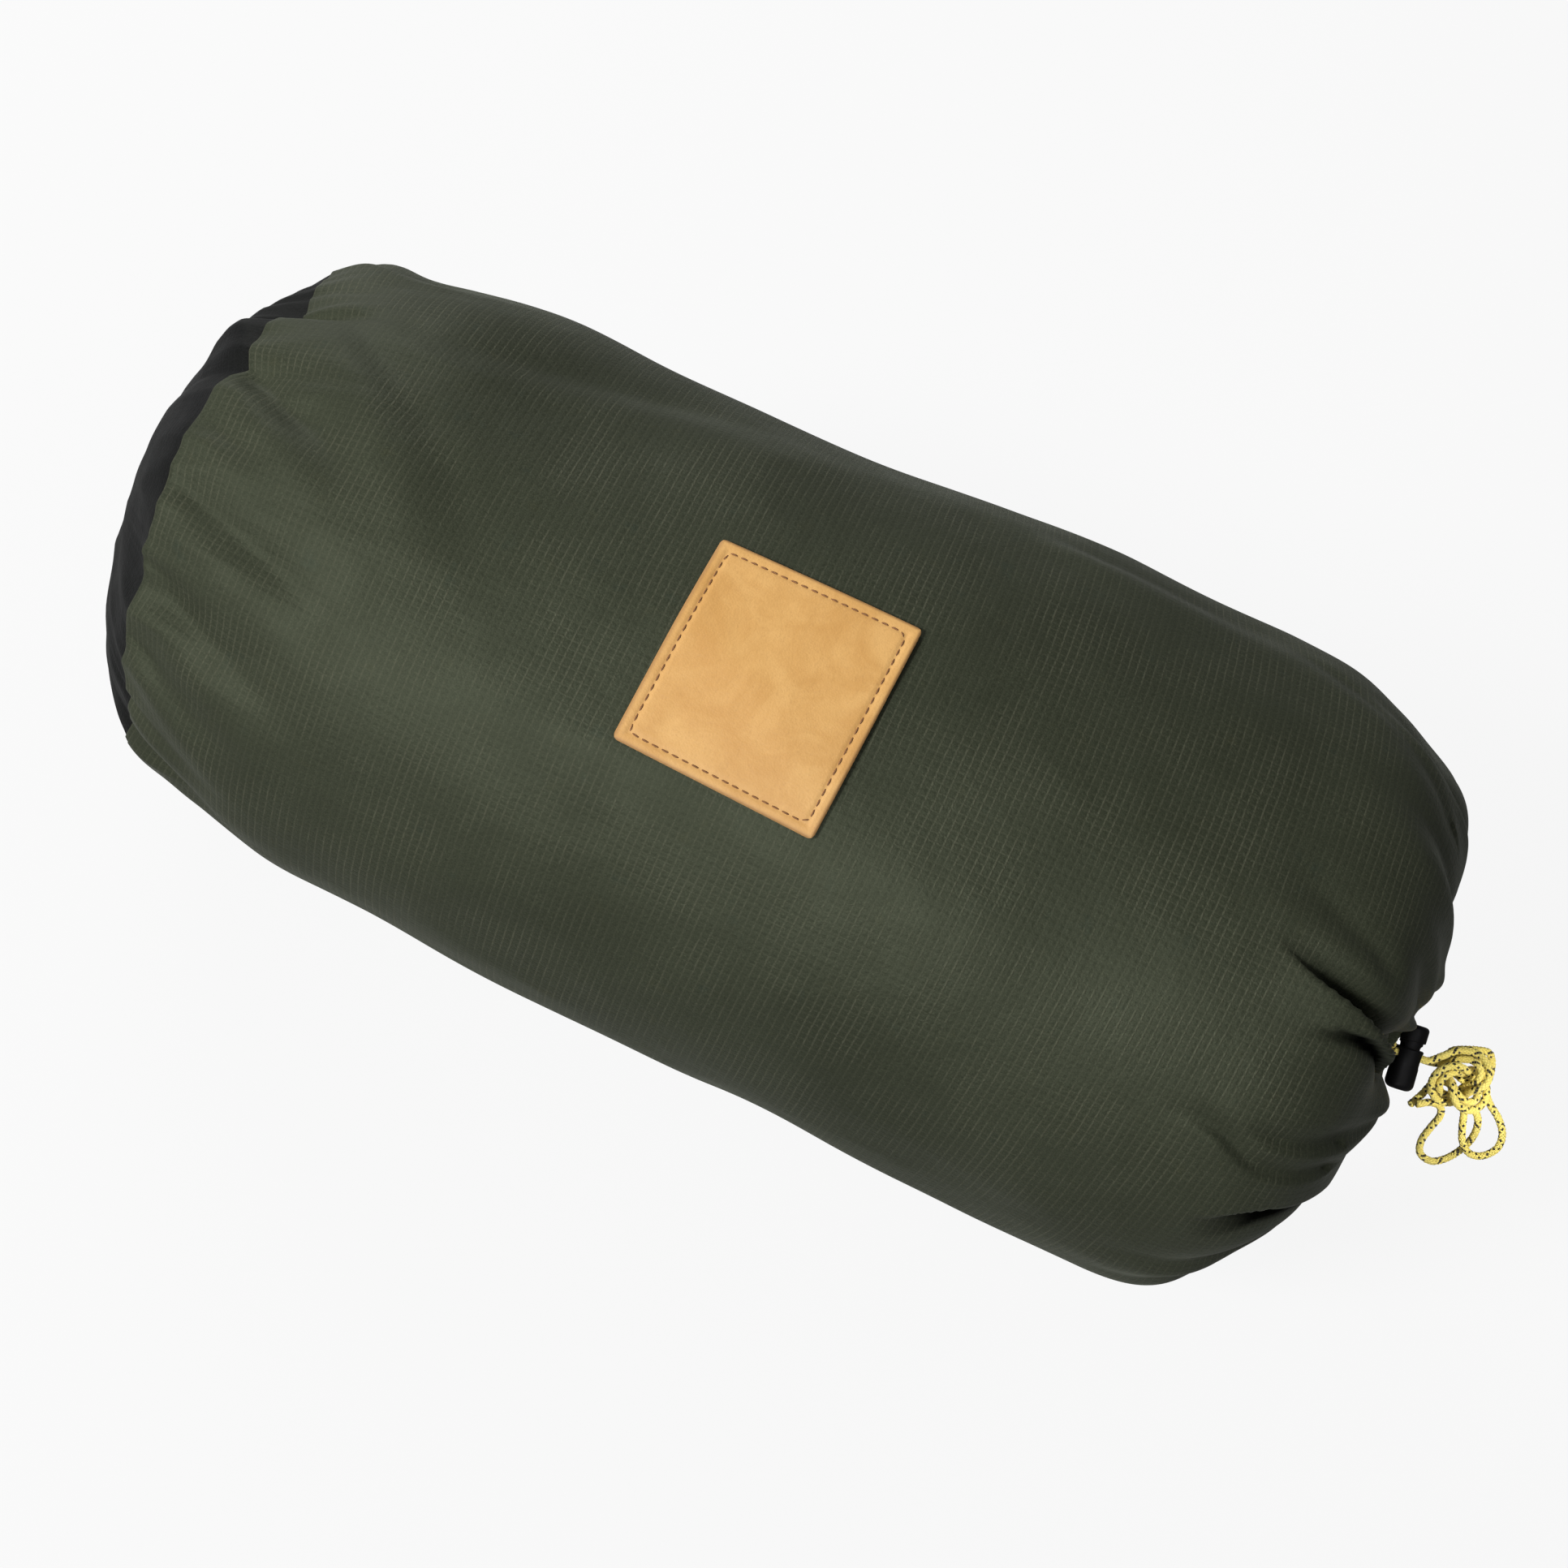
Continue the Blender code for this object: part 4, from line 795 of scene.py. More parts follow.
def ripstop_finish(name, dark, light, yarn_gain=1.0, gloss_level=0.13, sheen=0.03):
    """Coated nylon with a grid of thicker yarns, broken by wear, a soft sheen, fine crinkles and painted
    crease shade.
    """
    tints = {"Specular_Tint": (0.9, 1.0, 0.7, 1), "Sheen_Tint": (0.9, 1.0, 0.74, 1)}
    finish, shader, place = new_finish(name, roughness=0.5, Sheen_Roughness=0.35, **tints)
    cloth, ((off_across, round_yarn), (off_along, long_yarn)) = ripstop_weave(shader)
    worn = spread(noise_node(place, 0.026, 4, 0.6), 0.35, 0.68, 0.25, 1.0)
    broken = spread(noise_node(cloth, 0.0011, 2, 0.7), 0.3, 0.65, 0.2, 1.0)
    shown = product(worn, broken)
    cloud = spread(noise_node(place, 0.07, 4, 0.6), 0.3, 0.7)
    tinge = noise_node(place, 0.011, 3, 0.6)
    grain = noise_node(cloth, 0.0005, 2, 0.7)
    speck = noise_node(cloth, 0.0013, 2, 0.6)
    fleck = noise_node(cloth, 0.0009, 2, 0.6)
    colour = mix_colour(cloud, dark, light)
    for pattern, starts, full, strength, other in (
        (tinge, 0.62, 0.75, 0.4, scaled(dark, 0.82, 1.04, 1.25)),
        (tinge, 0.38, 0.25, 0.4, scaled(light, 1.12, 1.02, 0.85)),
        (grain, 0.35, 0.62, 0.6, scaled(dark, 0.5)),
        (speck, 0.42, 0.26, 0.45, scaled(dark, 0.5)),
        (fleck, 0.6, 0.74, 0.5, scaled(light, 1.7)),
    ):
        colour = mix_colour(spread(pattern, starts, full, 0.0, strength), colour, other)
    round_share = product(round_yarn, shown, 0.58 * yarn_gain)
    long_share = product(long_yarn, shown, 0.22 * yarn_gain)
    yarn_colour = (2.2 * light[1], 2.2 * light[1], 2.35 * light[2])
    colour = mix_colour(maths("MAXIMUM", round_share, long_share), colour, yarn_colour)
    # Painted shade: the colour goes to near black where the crease attribute is set
    shade = node("Attribute", tree=shader.id_data, attribute_name="painted_crease_shade").outputs["Fac"]
    colour = mix_colour(shade, colour, PAINTED_CREASE_SHADE)
    # In the painted shade the gloss and the sheen are taken away as well
    outside_painted_shade = maths("SUBTRACT", 1.0, shade)
    puff = product(*(maths("SUBTRACT", 0.5, off) for off in (off_across, off_along)))
    raised = maths("MAXIMUM", round_yarn, product(long_yarn, 0.6))
    normal = bump(noise_node(place, 0.012, 5, 0.65), 0.5 * MM)
    for height, depth in ((puff, 0.4), (product(raised, shown), 0.14), (grain, 0.06)):
        normal = bump(height, depth * MM, normal)
    plug_in(
        shader,
        Base_Color=colour,
        Normal=normal,
        Roughness=spread(noise_node(place, 0.02), 0.2, 0.8, 0.54, 0.62),
        Specular_IOR_Level=product(outside_painted_shade, gloss_level),
        Sheen_Weight=product(outside_painted_shade, sheen),
    )
    return finish


def leather_finish():
    """Smooth tan leather, darker at its cut edge."""
    finish, shader, place = new_finish("leather", roughness=0.6, Specular_IOR_Level=0.22)
    axes = node("SeparateXYZ", {0: flat_cloth(shader)}).outputs
    sides = []
    for distance, size in ((axes[0], PATCH_LENGTH), (axes[1], PATCH_HEIGHT)):
        from_middle = maths("ABSOLUTE", maths("SUBTRACT", distance, size / 2))
        sides.append(maths("SUBTRACT", size / 2, from_middle))
    from_edge = maths("MINIMUM", *sides)
    cloud = noise_node(place, 0.02, 5, 0.6, distortion=0.6)
    speck = noise_node(place, 0.0011, 3)
    colour = mix_colour(spread(cloud, 0.3, 0.7), *LEATHER)
    colour = mix_colour(spread(speck, 0.5, 0.8, 0.0, 0.35), colour, (0.45, 0.24, 0.08))
    rim = spread(from_edge, 0.0003, 0.0016, 0.75, 0.0)
    colour = mix_colour(rim, colour, (0.26, 0.13, 0.045))
    pores = node("TexVoronoi", {"Vector": place, "Scale": 1400.0}).outputs["Distance"]
    normal = bump(noise_node(place, 0.006, 4), 0.25 * MM)
    plug_in(shader, Base_Color=colour, Normal=bump(pores, 0.05 * MM, normal))
    return finish


def thread_finish():
    finish, shader, place = new_finish("thread", roughness=0.7, Specular_IOR_Level=0.2)
    twist = noise_node(place, 0.0006)
    colour = mix_colour(twist, *THREAD_BROWN)
    plug_in(shader, Base_Color=colour, Normal=bump(twist, 0.05 * MM))
    return finish


def cord_finish():
    """Yellow braid with black tracer strands and painted shade in the grooves between them, over strands
    counted along the cord and round it.
    """
    sheen = {"Sheen_Weight": 0.15, "Sheen_Roughness": 0.4}
    finish, shader, place = new_finish("cord", roughness=0.6, Specular_IOR_Level=0.25, **sheen)
    axes = node("SeparateXYZ", {0: flat_cloth(shader)}).outputs
    right = maths("ADD", axes[0], axes[1])
    left = maths("SUBTRACT", axes[0], axes[1])
    flecks, ribs = [], []
    for across, along, first, second in ((right, left, 0.0, 0.0), (left, right, 4.0, 1.0)):
        lane = maths("FLOORED_MODULO", maths("FLOOR", across), float(BRAID_STRANDS))
        cross = maths("FLOORED_MODULO", maths("FLOOR", along), 2.0)
        tracer = maths("COMPARE", lane, first, 0.5)
        over = maths("COMPARE", cross, second, 0.5)
        off = off_middle(across)
        flecks.append(product(tracer, over, spread(off, 0.36, 0.5, 1.0, 0.0)))
        ribs.append(spread(off, 0.3, 0.5))
    groove = maths("MAXIMUM", *ribs)
    colour = mix_colour(noise_node(place, 0.004, 3), *CORD_YELLOW)
    # Painted shade: the colour is darker in the grooves between the strands
    colour = mix_colour(product(groove, 0.5), colour, (0.50, 0.36, 0.05))
    colour = mix_colour(maths("MAXIMUM", *flecks), colour, (0.02, 0.018, 0.014))
    normal = bump(maths("SUBTRACT", 1.0, groove), 0.12 * MM)
    normal = bump(noise_node(place, 0.0004), 0.03 * MM, normal)
    plug_in(shader, Base_Color=colour, Normal=normal)
    return finish


def plastic_finish():
    """Black moulded plastic with a fine spark-eroded grain."""
    finish, shader, place = new_finish("black_plastic", roughness=0.5, Specular_IOR_Level=0.045)
    colour = mix_colour(noise_node(place, 0.004, 3), *LOCK_BLACK)
    gloss = spread(noise_node(place, 0.002), 0.2, 0.8, 0.45, 0.55)
    normal = bump(noise_node(place, 0.0004), 0.02 * MM)
    plug_in(shader, Base_Color=colour, Roughness=gloss, Normal=normal)
    return finish


def metal_finish(name, dark, light, roughness):
    """Drawn metal, brushed along X."""
    finish, shader, place = new_finish(name, roughness=roughness, metallic=1.0)
    stretched = node("Mapping", {"Vector": place, "Scale": (0.02, 1.0, 1.0)}).outputs[0]
    scratch = noise_node(stretched, 0.0003)
    colour = mix_colour(scratch, dark, light)
    gloss = spread(scratch, 0.2, 0.8, roughness - 0.06, roughness + 0.1)
    plug_in(shader, Base_Color=colour, Roughness=gloss, Normal=bump(scratch, 0.01 * MM))
    return finish


def plain_cloth_finish(name, dark, light, thread=0.0006):
    """Woven cloth without a grid, with a fine thread and soft crinkles."""
    sheen = {"Sheen_Weight": 0.2, "Sheen_Roughness": 0.5}
    finish, shader, place = new_finish(name, roughness=0.65, Specular_IOR_Level=0.2, **sheen)
    weave = noise_node(place, thread)
    colour = mix_colour(noise_node(place, 0.05, 4), dark, light)
    colour = mix_colour(spread(weave, 0.35, 0.75, 0.0, 0.4), colour, scaled(dark, 0.6))
    normal = bump(noise_node(place, 0.01, 4), 0.8 * MM)
    plug_in(shader, Base_Color=colour, Normal=bump(weave, 0.06 * MM, normal))
    return finish


# The sack's fabric


def seam_wave(angle):
    """How far the base seam runs off its plane along X: soft arcs with kinks where the cloth is gathered."""
    turns, offsets = zip(*SEAM_LINE)
    return MM * np.interp(np.degrees(angle), turns, offsets, period=360)


def pleat_wave(angle, count, seed):
    """Round hills between sharp valleys, unevenly spaced round the mouth, from -0.6 to 0.4 high."""
    ring = points_at(np.cos(angle), np.sin(angle), 0.0)
    warp = 0.9 * noise_at(ring, 0.8, seed)
    height = 0.75 + 0.5 * noise_at(ring, 0.25, seed + 1)
    return (np.abs(np.sin(0.5 * count * angle + warp * 2)) - 0.6) * height


def fold_relief(s, angle):
    """The single folds: a crisp valley with soft sides, and a ridge beside it that leans over the valley.

    Gives the height over the plain surface, and the way that the cloth is pushed round the sack."""
    relief = np.zeros(np.broadcast_shapes(s.shape, angle.shape))
    lean = np.zeros_like(relief)
    for start, start_angle, end, end_angle, width, depth, ridge in FOLDS:
        along = np.array([(end - start) * MM, math.radians(end_angle - start_angle) * CLOTH_RADIUS])
        length = np.linalg.norm(along)
        along /= length
        past = s - start * MM
        beside = off_angle(angle, math.radians(start_angle)) * CLOTH_RADIUS
        u = (past * along[0] + beside * along[1]) / length
        q = (beside * along[0] - past * along[1]) / (width * MM)
        q = q / (0.75 + 0.5 * np.clip(u, 0, 1)) * math.copysign(1, along[0])
        fade = smooth_step((u + 0.25) / 0.35) * smooth_step((1.15 - u) / 0.75)
        valley = np.exp(FOLD_ROUNDING - np.sqrt(q**2 + FOLD_ROUNDING**2))
        hill = abs(ridge) * np.exp(-(((q - math.copysign(1.9, ridge)) / 1.2) ** 2))
        relief += depth * MM * fade * (hill - valley)
        lean -= math.copysign(FOLD_LEAN, ridge) * depth * MM * fade * hill
    return relief, lean


def off_route(route, s, angle):
    """Distance of points from a route over the cloth, and the share of the route passed.

    The distance is more than 0 on the side of the larger angle."""
    path = smooth_path([(at * MM, math.radians(turn) * CLOTH_RADIUS) for at, turn in route], 4 * MM)
    shape = np.broadcast_shapes(s.shape, angle.shape)
    nearest = np.full(shape, np.inf)
    offset = np.zeros(shape)
    passed = np.zeros(shape)
    steps = np.diff(path, axis=0)
    for i, (start, step) in enumerate(zip(path, steps)):
        along = s - start[0]
        around = angle * CLOTH_RADIUS - start[1]
        t = np.clip((along * step[0] + around * step[1]) / np.hypot(*step) ** 2, 0, 1)
        gap = np.hypot(along - t * step[0], around - t * step[1])
        closer = gap < nearest
        nearest = np.where(closer, gap, nearest)
        offset = np.where(closer, np.copysign(gap, step[0] * around - step[1] * along), offset)
        passed = np.where(closer, (i + t) / len(steps), passed)
    return offset, passed


def crease_relief(s, angle):
    """The creases with hanging cloth: height over the plain surface, push round the sack, and painted shade.
    """
    relief = np.zeros(np.broadcast_shapes(s.shape, angle.shape))
    lean = np.zeros_like(relief)
    shade = np.zeros_like(relief)
    for (side, hang, width, depth, softness, dark, reach), route in CREASES:
        offset, passed = off_route(route, s, angle)
        q = side * offset / (width * MM)
        edge = smooth_step(q / softness + 0.5)
        ridge = edge * CREASE_RIDGE * np.exp(-((np.maximum(q, 0) / 1.6) ** 2))
        valley = (1 - edge) * np.exp(-((np.maximum(-q, 0) / 1.4) ** 2))
        grown = depth * MM * smooth_step(passed / 0.4)
        relief += grown * (ridge - valley)
        lean -= side * grown * hang * edge * np.exp(-(q**2))
        ends = smooth_step(passed / 0.3) * smooth_step((1 - passed) / 0.2)
        # Painted shade: the valley under the hanging cloth is darkened in colour, up to its dark level
        shade = np.maximum(shade, dark * ends * (1 - edge) * smooth_step((q + reach) / 0.5))
    return relief, lean, shade


def swell_relief(s, angle):
    """The single swells and hollows."""
    relief = 0.0
    for middle, middle_angle, along, around, height in SWELLS:
        u = (s - middle * MM) / (along * MM)
        v = off_angle(angle, math.radians(middle_angle)) * CLOTH_RADIUS / (around * MM)
        relief = relief + height * MM * np.exp(-(u**2) - v**2)
    return relief


def patch_cover(s, angle, margin):
    """1 under the patch, fading to 0 at the margin outside it."""
    along = s - PATCH_FROM_SEAM
    around = off_angle(angle, PATCH_ANGLE) * CLOTH_RADIUS
    u = along * math.cos(PATCH_TURN) + around * math.sin(PATCH_TURN)
    v = around * math.cos(PATCH_TURN) - along * math.sin(PATCH_TURN)
    beside = np.maximum(np.abs(u) - PATCH_LENGTH / 2, np.abs(v) - PATCH_HEIGHT / 2)
    return 1 - smooth_step(beside / margin)


def broad_relief(points):
    """Soft facets over the rolled tent inside."""
    swell = 1.8 * noise_at(points, (130 * MM, 85 * MM, 85 * MM), 1)
    return MM * (swell + 3.0 * noise_ridges(points, (110 * MM, 62 * MM, 62 * MM), 2, 0.08, 0.8))


def fine_relief(points):
    """Small dents and creases between the facets."""
    dent = noise_at(points, (46 * MM, 34 * MM, 34 * MM), 4)
    crease = noise_ridges(points, (60 * MM, 26 * MM, 26 * MM), 6, 0.05, 0.8)
    return MM * (0.5 * dent + 0.7 * crease * smooth_step(dent * 2 + 0.5))


def sack_relief(s, angle, radius, points):
    """Height of the cloth over the plain sack, its push round the sack, and the painted shade in its
    creases.
    """
    folds, lean = fold_relief(s, angle)
    creases, hang, shade = crease_relief(s, angle)
    narrowing = radius / CLOTH_RADIUS
    relief = broad_relief(points) + fine_relief(points) * (1 - patch_cover(s, angle, 12 * MM))
    relief = relief + folds + creases * narrowing + swell_relief(s, angle)
    slant = angle + 1.1 * s
    ring = points_at(np.cos(slant), np.sin(slant), 3.0 * s)
    gather = noise_ridges(ring, 0.13, 7, 0.06, 0.78)
    relief = relief + MM * gather * (1.4 * np.exp(-s / (16 * MM)) + 2.0 * np.exp(-s / (50 * MM)))
    at_end = smooth_step((s - END_START) / END_LENGTH)
    off_neck = smooth_step((radius - NECK_RADIUS) / (26 * MM))
    relief = relief * (1 - 0.6 * at_end * (1 - off_neck))
    for count, height, seed, widest, fade in PLEATS:
        pleats = pleat_wave(angle, count, seed) * smooth_step((widest - radius) / fade)
        relief = relief + height * pleats * at_end * (0.15 + 0.85 * off_neck)
    return relief, (lean + hang) * narrowing * smooth_step((radius - NECK_RADIUS) / (40 * MM)), shade


def sack_profile():
    """(x, radius) from the base seam to the neck of the mouth, at an even spacing."""
    turn = np.linspace(0, SHOULDER_END_ANGLE, 30)[1:]
    rounded = SHOULDER_X + SHOULDER_LENGTH * np.sin(turn) ** (2 / 3)
    x = np.concatenate([np.linspace(SEAM_X, SHOULDER_X, 60), rounded])
    lip = [(MOUTH_X + past, radius) for radius, past in MOUTH_LIP]
    return smooth_path([*zip(x, shoulder_radius(x)), *lip], CLOTH_STEP)


def on_profile(s, profile):
    """x and radius of the plain sack at distances from the base seam."""
    along = distances_along(profile)
    return np.interp(s, along, profile[:, 0]), np.interp(s, along, profile[:, 1])


def sack_surface(s, angle, profile):
    """Points of the finished cloth at distances from the seam and angles, and the painted shade in its
    creases.
    """
    x, radius = on_profile(s, profile)
    plain = round_points(x, radius, angle)
    relief, lean, shade = sack_relief(s, angle, radius, plain)
    around = points_at(0.0, -np.sin(angle), np.cos(angle))
    made = plain + normals_of(plain) * relief[..., None] + around * lean[..., None]
    made[..., 0] += seam_wave(angle) * np.exp(-s / (30 * MM))
    made[..., 2] = on_floor(made[..., 2])
    return made, shade


def make_sack(finish):
    """The tube of cloth from the base seam to the neck of the mouth. Gives its edge at the seam."""
    profile = sack_profile()
    length = CLOTH_STEP * (len(profile) - 1)
    columns = round(2 * math.pi * CLOTH_RADIUS / CLOTH_STEP)
    s = np.linspace(0, length, len(profile))
    points, shade = sack_surface(s[:, None], even_turns(columns)[None, :], profile)
    pitches = round(2 * math.pi * CLOTH_RADIUS / RIPSTOP_PITCH)
    mesh = grid_mesh("sack_body", points, (s, np.linspace(0, pitches * RIPSTOP_PITCH, columns + 1)))
    # The painted crease shade goes on the points, for the ripstop finish to darken its colour there
    layer = mesh.attributes.new("painted_crease_shade", "FLOAT", "POINT")
    layer.data.foreach_set("value", shade.astype(np.float32).ravel())
    sack = add_piece("sack_body", mesh, finish, "sack", "ripstop", "sack_tube")
    thicken(sack)
    return points[0]


def make_base(finish, edge_ring):
    """The round end panel: a shallow dome sewn into the tube's edge, with creases that run in from it."""
    angle = even_turns(len(edge_ring))[None, :]
    centre = [0, axis_height(SEAM_X)]
    rim = tapered_radius(SEAM_X)
    sphere = (rim**2 + BASE_BULGE**2) / (2 * BASE_BULGE)
    share = np.sin(np.linspace(0, math.pi / 2, 60))[:, None]
    radius = rim * share
    height = np.sqrt(sphere**2 - radius**2)
    plain = round_points(SEAM_X - CLEAR - (height - (sphere - BASE_BULGE)), radius, angle)
    normal = points_at(-height, plain[..., 1], plain[..., 2] - centre[1])
    normal /= np.linalg.norm(normal, axis=-1, keepdims=True)
    gather = noise_ridges(points_at(np.cos(angle), np.sin(angle), radius * 4), 0.2, 31, 0.05, 0.78)
    crumple = 6.0 * noise_ridges(plain, 48 * MM, 33, 0.03, 0.8)
    crumple = crumple + 1.6 * noise_ridges(plain, 24 * MM, 35, 0.04, 0.8)
    edge = share**3
    swell_angle, swell_radius, swell_size, swell_height = PANEL_SWELL
    swell_middle = np.array([math.cos(swell_angle), math.sin(swell_angle)]) * swell_radius
    from_swell = plain[..., 1:] - swell_middle - centre
    swell = swell_height * np.exp(-((from_swell / swell_size) ** 2).sum(axis=-1))
    relief = (MM * (4.0 * gather * edge + crumple) + swell) * (1 - edge**6)
    made = plain + normal * relief[..., None]
    inner_ring = edge_ring.copy()
    inner_ring[:, 1:] -= PANEL_TUCK * (inner_ring[:, 1:] - centre) / rim
    made = made + (edge * share**2)[..., None] * (inner_ring - made[-1])[None, :, :]
    made[..., 2] = on_floor(made[..., 2])
    arc_length = sphere * np.arcsin(radius[:, 0] / sphere)
    around = np.linspace(0, 2 * math.pi, len(edge_ring) + 1) * rim
    mesh = grid_mesh("sack_end_panel", made[:, ::-1], (arc_length, around))
    clean_mesh(mesh)
    panel = add_piece("sack_end_panel", mesh, finish, "sack", "base_fabric", "sack_base")
    thicken(panel)


def make_hem(finish):
    """The gathered hem: a ruffled ring of cloth round the drawcord, open where the cord comes out."""
    sides = 30
    open_turn = EYELET_TURN * 0.92
    turn = np.linspace(open_turn, 2 * math.pi - open_turn, 240)[:, None]
    cross = even_turns(sides)
    ruffle = np.abs(np.sin(HEM_RUFFLES * turn + 1.3 * np.sin(3 * turn))) - 0.6
    from_end = np.minimum(turn - open_turn, 2 * math.pi - open_turn - turn) * HEM_RING_RADIUS
    swell = HEM_THICKNESS / 2 * (0.93 + 0.17 * ruffle) * (1 + 0.05 * np.sin(5 * turn + 2 * cross))
    swell = swell * smooth_step(from_end / (1.2 * MM) + 0.45)
    x = swell * 1.05 * np.sin(cross) - HEM_THICKNESS / 2 - HEM_SET_BACK * np.maximum(0, np.sin(turn))
    reach = HEM_RING_RADIUS + swell * np.cos(cross)
    places = points_at(x, reach * np.cos(turn) - HEM_RING_RADIUS, reach * np.sin(turn))
    points = places @ np.array([(1, 0, 0), DOWN_FRONT, OUTWARD]) + np.array(hem_place(0, 0, 0))
    around = np.linspace(0, math.pi * HEM_THICKNESS, sides + 1)
    mesh = grid_mesh("sack_hem_ruffle", points, (turn[:, 0] * HEM_RING_RADIUS, around))
    clean_mesh(mesh, fill=True)
    add_piece("sack_hem_ruffle", mesh, finish, "sack", "ripstop", "sack_hem")


# The leather patch


def patch_point(u, v, lift, profile):
    """A point over the sack's broad relief, u along the patch from its middle and v across it."""
    s = PATCH_FROM_SEAM + u * math.cos(PATCH_TURN) - v * math.sin(PATCH_TURN)
    angle = PATCH_ANGLE + (u * math.sin(PATCH_TURN) + v * math.cos(PATCH_TURN)) / CLOTH_RADIUS
    plain = round_points(*on_profile(s, profile), angle)
    height = broad_relief(plain) + fold_relief(s, angle)[0] + swell_relief(s, angle) + lift
    return plain + points_at(0.0, np.cos(angle), np.sin(angle)) * height[..., None]


def rounded_rectangle(width, height, corner, spacing):
    """Points round a rectangle with rounded corners, at an even spacing, from the start of a corner."""
    outline = []
    for quarter, (x, y) in enumerate(((1, 1), (-1, 1), (-1, -1), (1, -1))):
        centre = np.array([x * (width / 2 - corner), y * (height / 2 - corner)])
        turn = np.radians(90 * quarter + 15 * np.arange(7))
        outline += [*(centre + corner * points_at(np.cos(turn), np.sin(turn)))]
    return evenly_spaced(np.array([*outline, outline[0]]), spacing)[:-1]


def make_patch(finish, thread, profile):
    """Leather with a rounded edge and a groove pulled in by its running stitch."""
    across = np.linspace(-0.5, 0.5, PATCH_STEPS)
    rounded = np.sign(across) * 0.5 * (1 - (1 - np.abs(2 * across)) ** 1.6)
    u, v = np.meshgrid(rounded * PATCH_LENGTH, rounded * PATCH_HEIGHT, indexing="ij")
    straight_u = PATCH_LENGTH / 2 - PATCH_CORNER
    straight_v = PATCH_HEIGHT / 2 - PATCH_CORNER
    du = np.abs(u) - straight_u
    dv = np.abs(v) - straight_v
    shrink = np.maximum(du, dv) / np.maximum(np.hypot(du, dv), 1e-9)
    in_corner = (du > 0) & (dv > 0)
    u = np.where(in_corner, np.sign(u) * (straight_u + du * shrink), u)
    v = np.where(in_corner, np.sign(v) * (straight_v + dv * shrink), v)
    from_edge = np.minimum(PATCH_LENGTH / 2 - np.abs(u), PATCH_HEIGHT / 2 - np.abs(v))
    groove = 0.35 * MM * np.exp(-(((from_edge - STITCH_INSET) / (0.8 * MM)) ** 2))
    crown = 0.45 * MM * (1 - np.clip(from_edge / (1.0 * MM), 0, 1)) ** 2
    top = patch_point(u, v, PATCH_LIFT + PATCH_THICKNESS - groove - crown, profile)
    under = patch_point(u, v, PATCH_LIFT, profile)
    index = np.arange(PATCH_STEPS**2).reshape(PATCH_STEPS, PATCH_STEPS)
    a, b = index[:-1, :-1].ravel(), index[1:, :-1].ravel()
    rim = np.concatenate([index[:, 0], index[-1, 1:], index[-2::-1, -1], index[0, -2:0:-1]])
    after = np.roll(rim, -1)
    faces = [(a, a + 1, b + 1, b), index.size + np.array((a, b, b + 1, a + 1))]
    faces.append((rim, after, after + index.size, rim + index.size))
    faces = np.concatenate([np.stack(corners, axis=-1) for corners in faces])
    vertices = np.concatenate([top.reshape(-1, 3), under.reshape(-1, 3)])
    mesh = mesh_of("leather_patch_bare", vertices.tolist(), faces.tolist())
    flat = points_at(u + PATCH_LENGTH / 2, v + PATCH_HEIGHT / 2).reshape(-1, 2)
    lay_cloth(mesh, np.concatenate([flat, flat])[faces.ravel()])
    mesh.set_sharp_from_angle(angle=math.radians(50))
    patch = add_piece("leather_patch_bare", mesh, finish, "sack", "leather", "leather_patch")
    bpy.context.view_layer.update()
    make_stitches(patch, thread, profile)


def make_stitches(patch, thread, profile):
    """A running stitch of short bowed threads, sunk at their ends."""
    size = [length - 2 * STITCH_INSET for length in (PATCH_LENGTH, PATCH_HEIGHT)]
    line = rounded_rectangle(*size, 1.5 * MM, STITCH_PITCH)
    share = np.linspace(0, 1, 9) * STITCH_LENGTH / STITCH_PITCH
    bow = np.sin(np.linspace(0, math.pi, 9))
    lift = PATCH_LIFT + PATCH_THICKNESS - STITCH_SUNK + STITCH_BOW * bow**0.7
    radius = THREAD_RADIUS * (0.55 + 0.45 * bow**0.5)
    threads = []
    for start, step in zip(line, np.roll(line, -1, axis=0) - line):
        u, v = (start + step * share[:, None]).T
        threads.append(rings_round(patch_point(u, v, lift, profile), radius[:, None, None], 8))
    mesh = tube_mesh("patch_stitches", threads)
    stitches = add_piece("patch_stitches", mesh, thread, "sack", "leather")
    stitches.parent = patch
    stitches.matrix_parent_inverse = patch.matrix_world.inverted()


# The drawcord


def knot_point(turn, side):
    """A point of the overhand knot at this turn of it, on the outer strand (side 1) or the inner (-1)."""

    def middle(t):
        radius = KNOT_RADIUS + KNOT_SWING * math.cos(3 * t)
        out = KNOT_DEPTH * math.sin(3 * t) + KNOT_DRIFT * math.cos(t / 2)
        return Vector((radius * math.sin(2 * t), -radius * math.cos(2 * t), out))

    ahead = middle(turn + 0.01) - middle(turn - 0.01)
    sideways = Vector((ahead.y, -ahead.x, 0)).normalized()
    across = ahead.cross(sideways).normalized()
    twist = KNOT_TWIST * (1 - math.cos(3 * turn)) / 2
    offset = sideways * math.cos(twist) + across * math.sin(twist)
    return middle(turn) + offset * side * STRAND_OFFSET + Vector((KNOT_FROM_LOCK, KNOT_BELOW_CORD, 0))


def tail_route(side, lead, loop):
    """One strand from the hem's front through the lock and the knot to its cut end."""
    strand = side * STRAND_OFFSET
    start = lock_place(-(LOCK_X - HEM_FRONT_X - CLEAR) / math.cos(LOCK_TILT), 0, strand)
    turns = [KNOT_START + (KNOT_END - KNOT_START) * i / KNOT_POINTS for i in range(KNOT_POINTS + 1)]
    knot = [knot_point(turn, side) for turn in turns]
    before, after = ([Vector(point) * MM for point in points] for points in (lead, loop))
    return [start, *(lock_place(*point) for point in [*before, *knot, *after])]


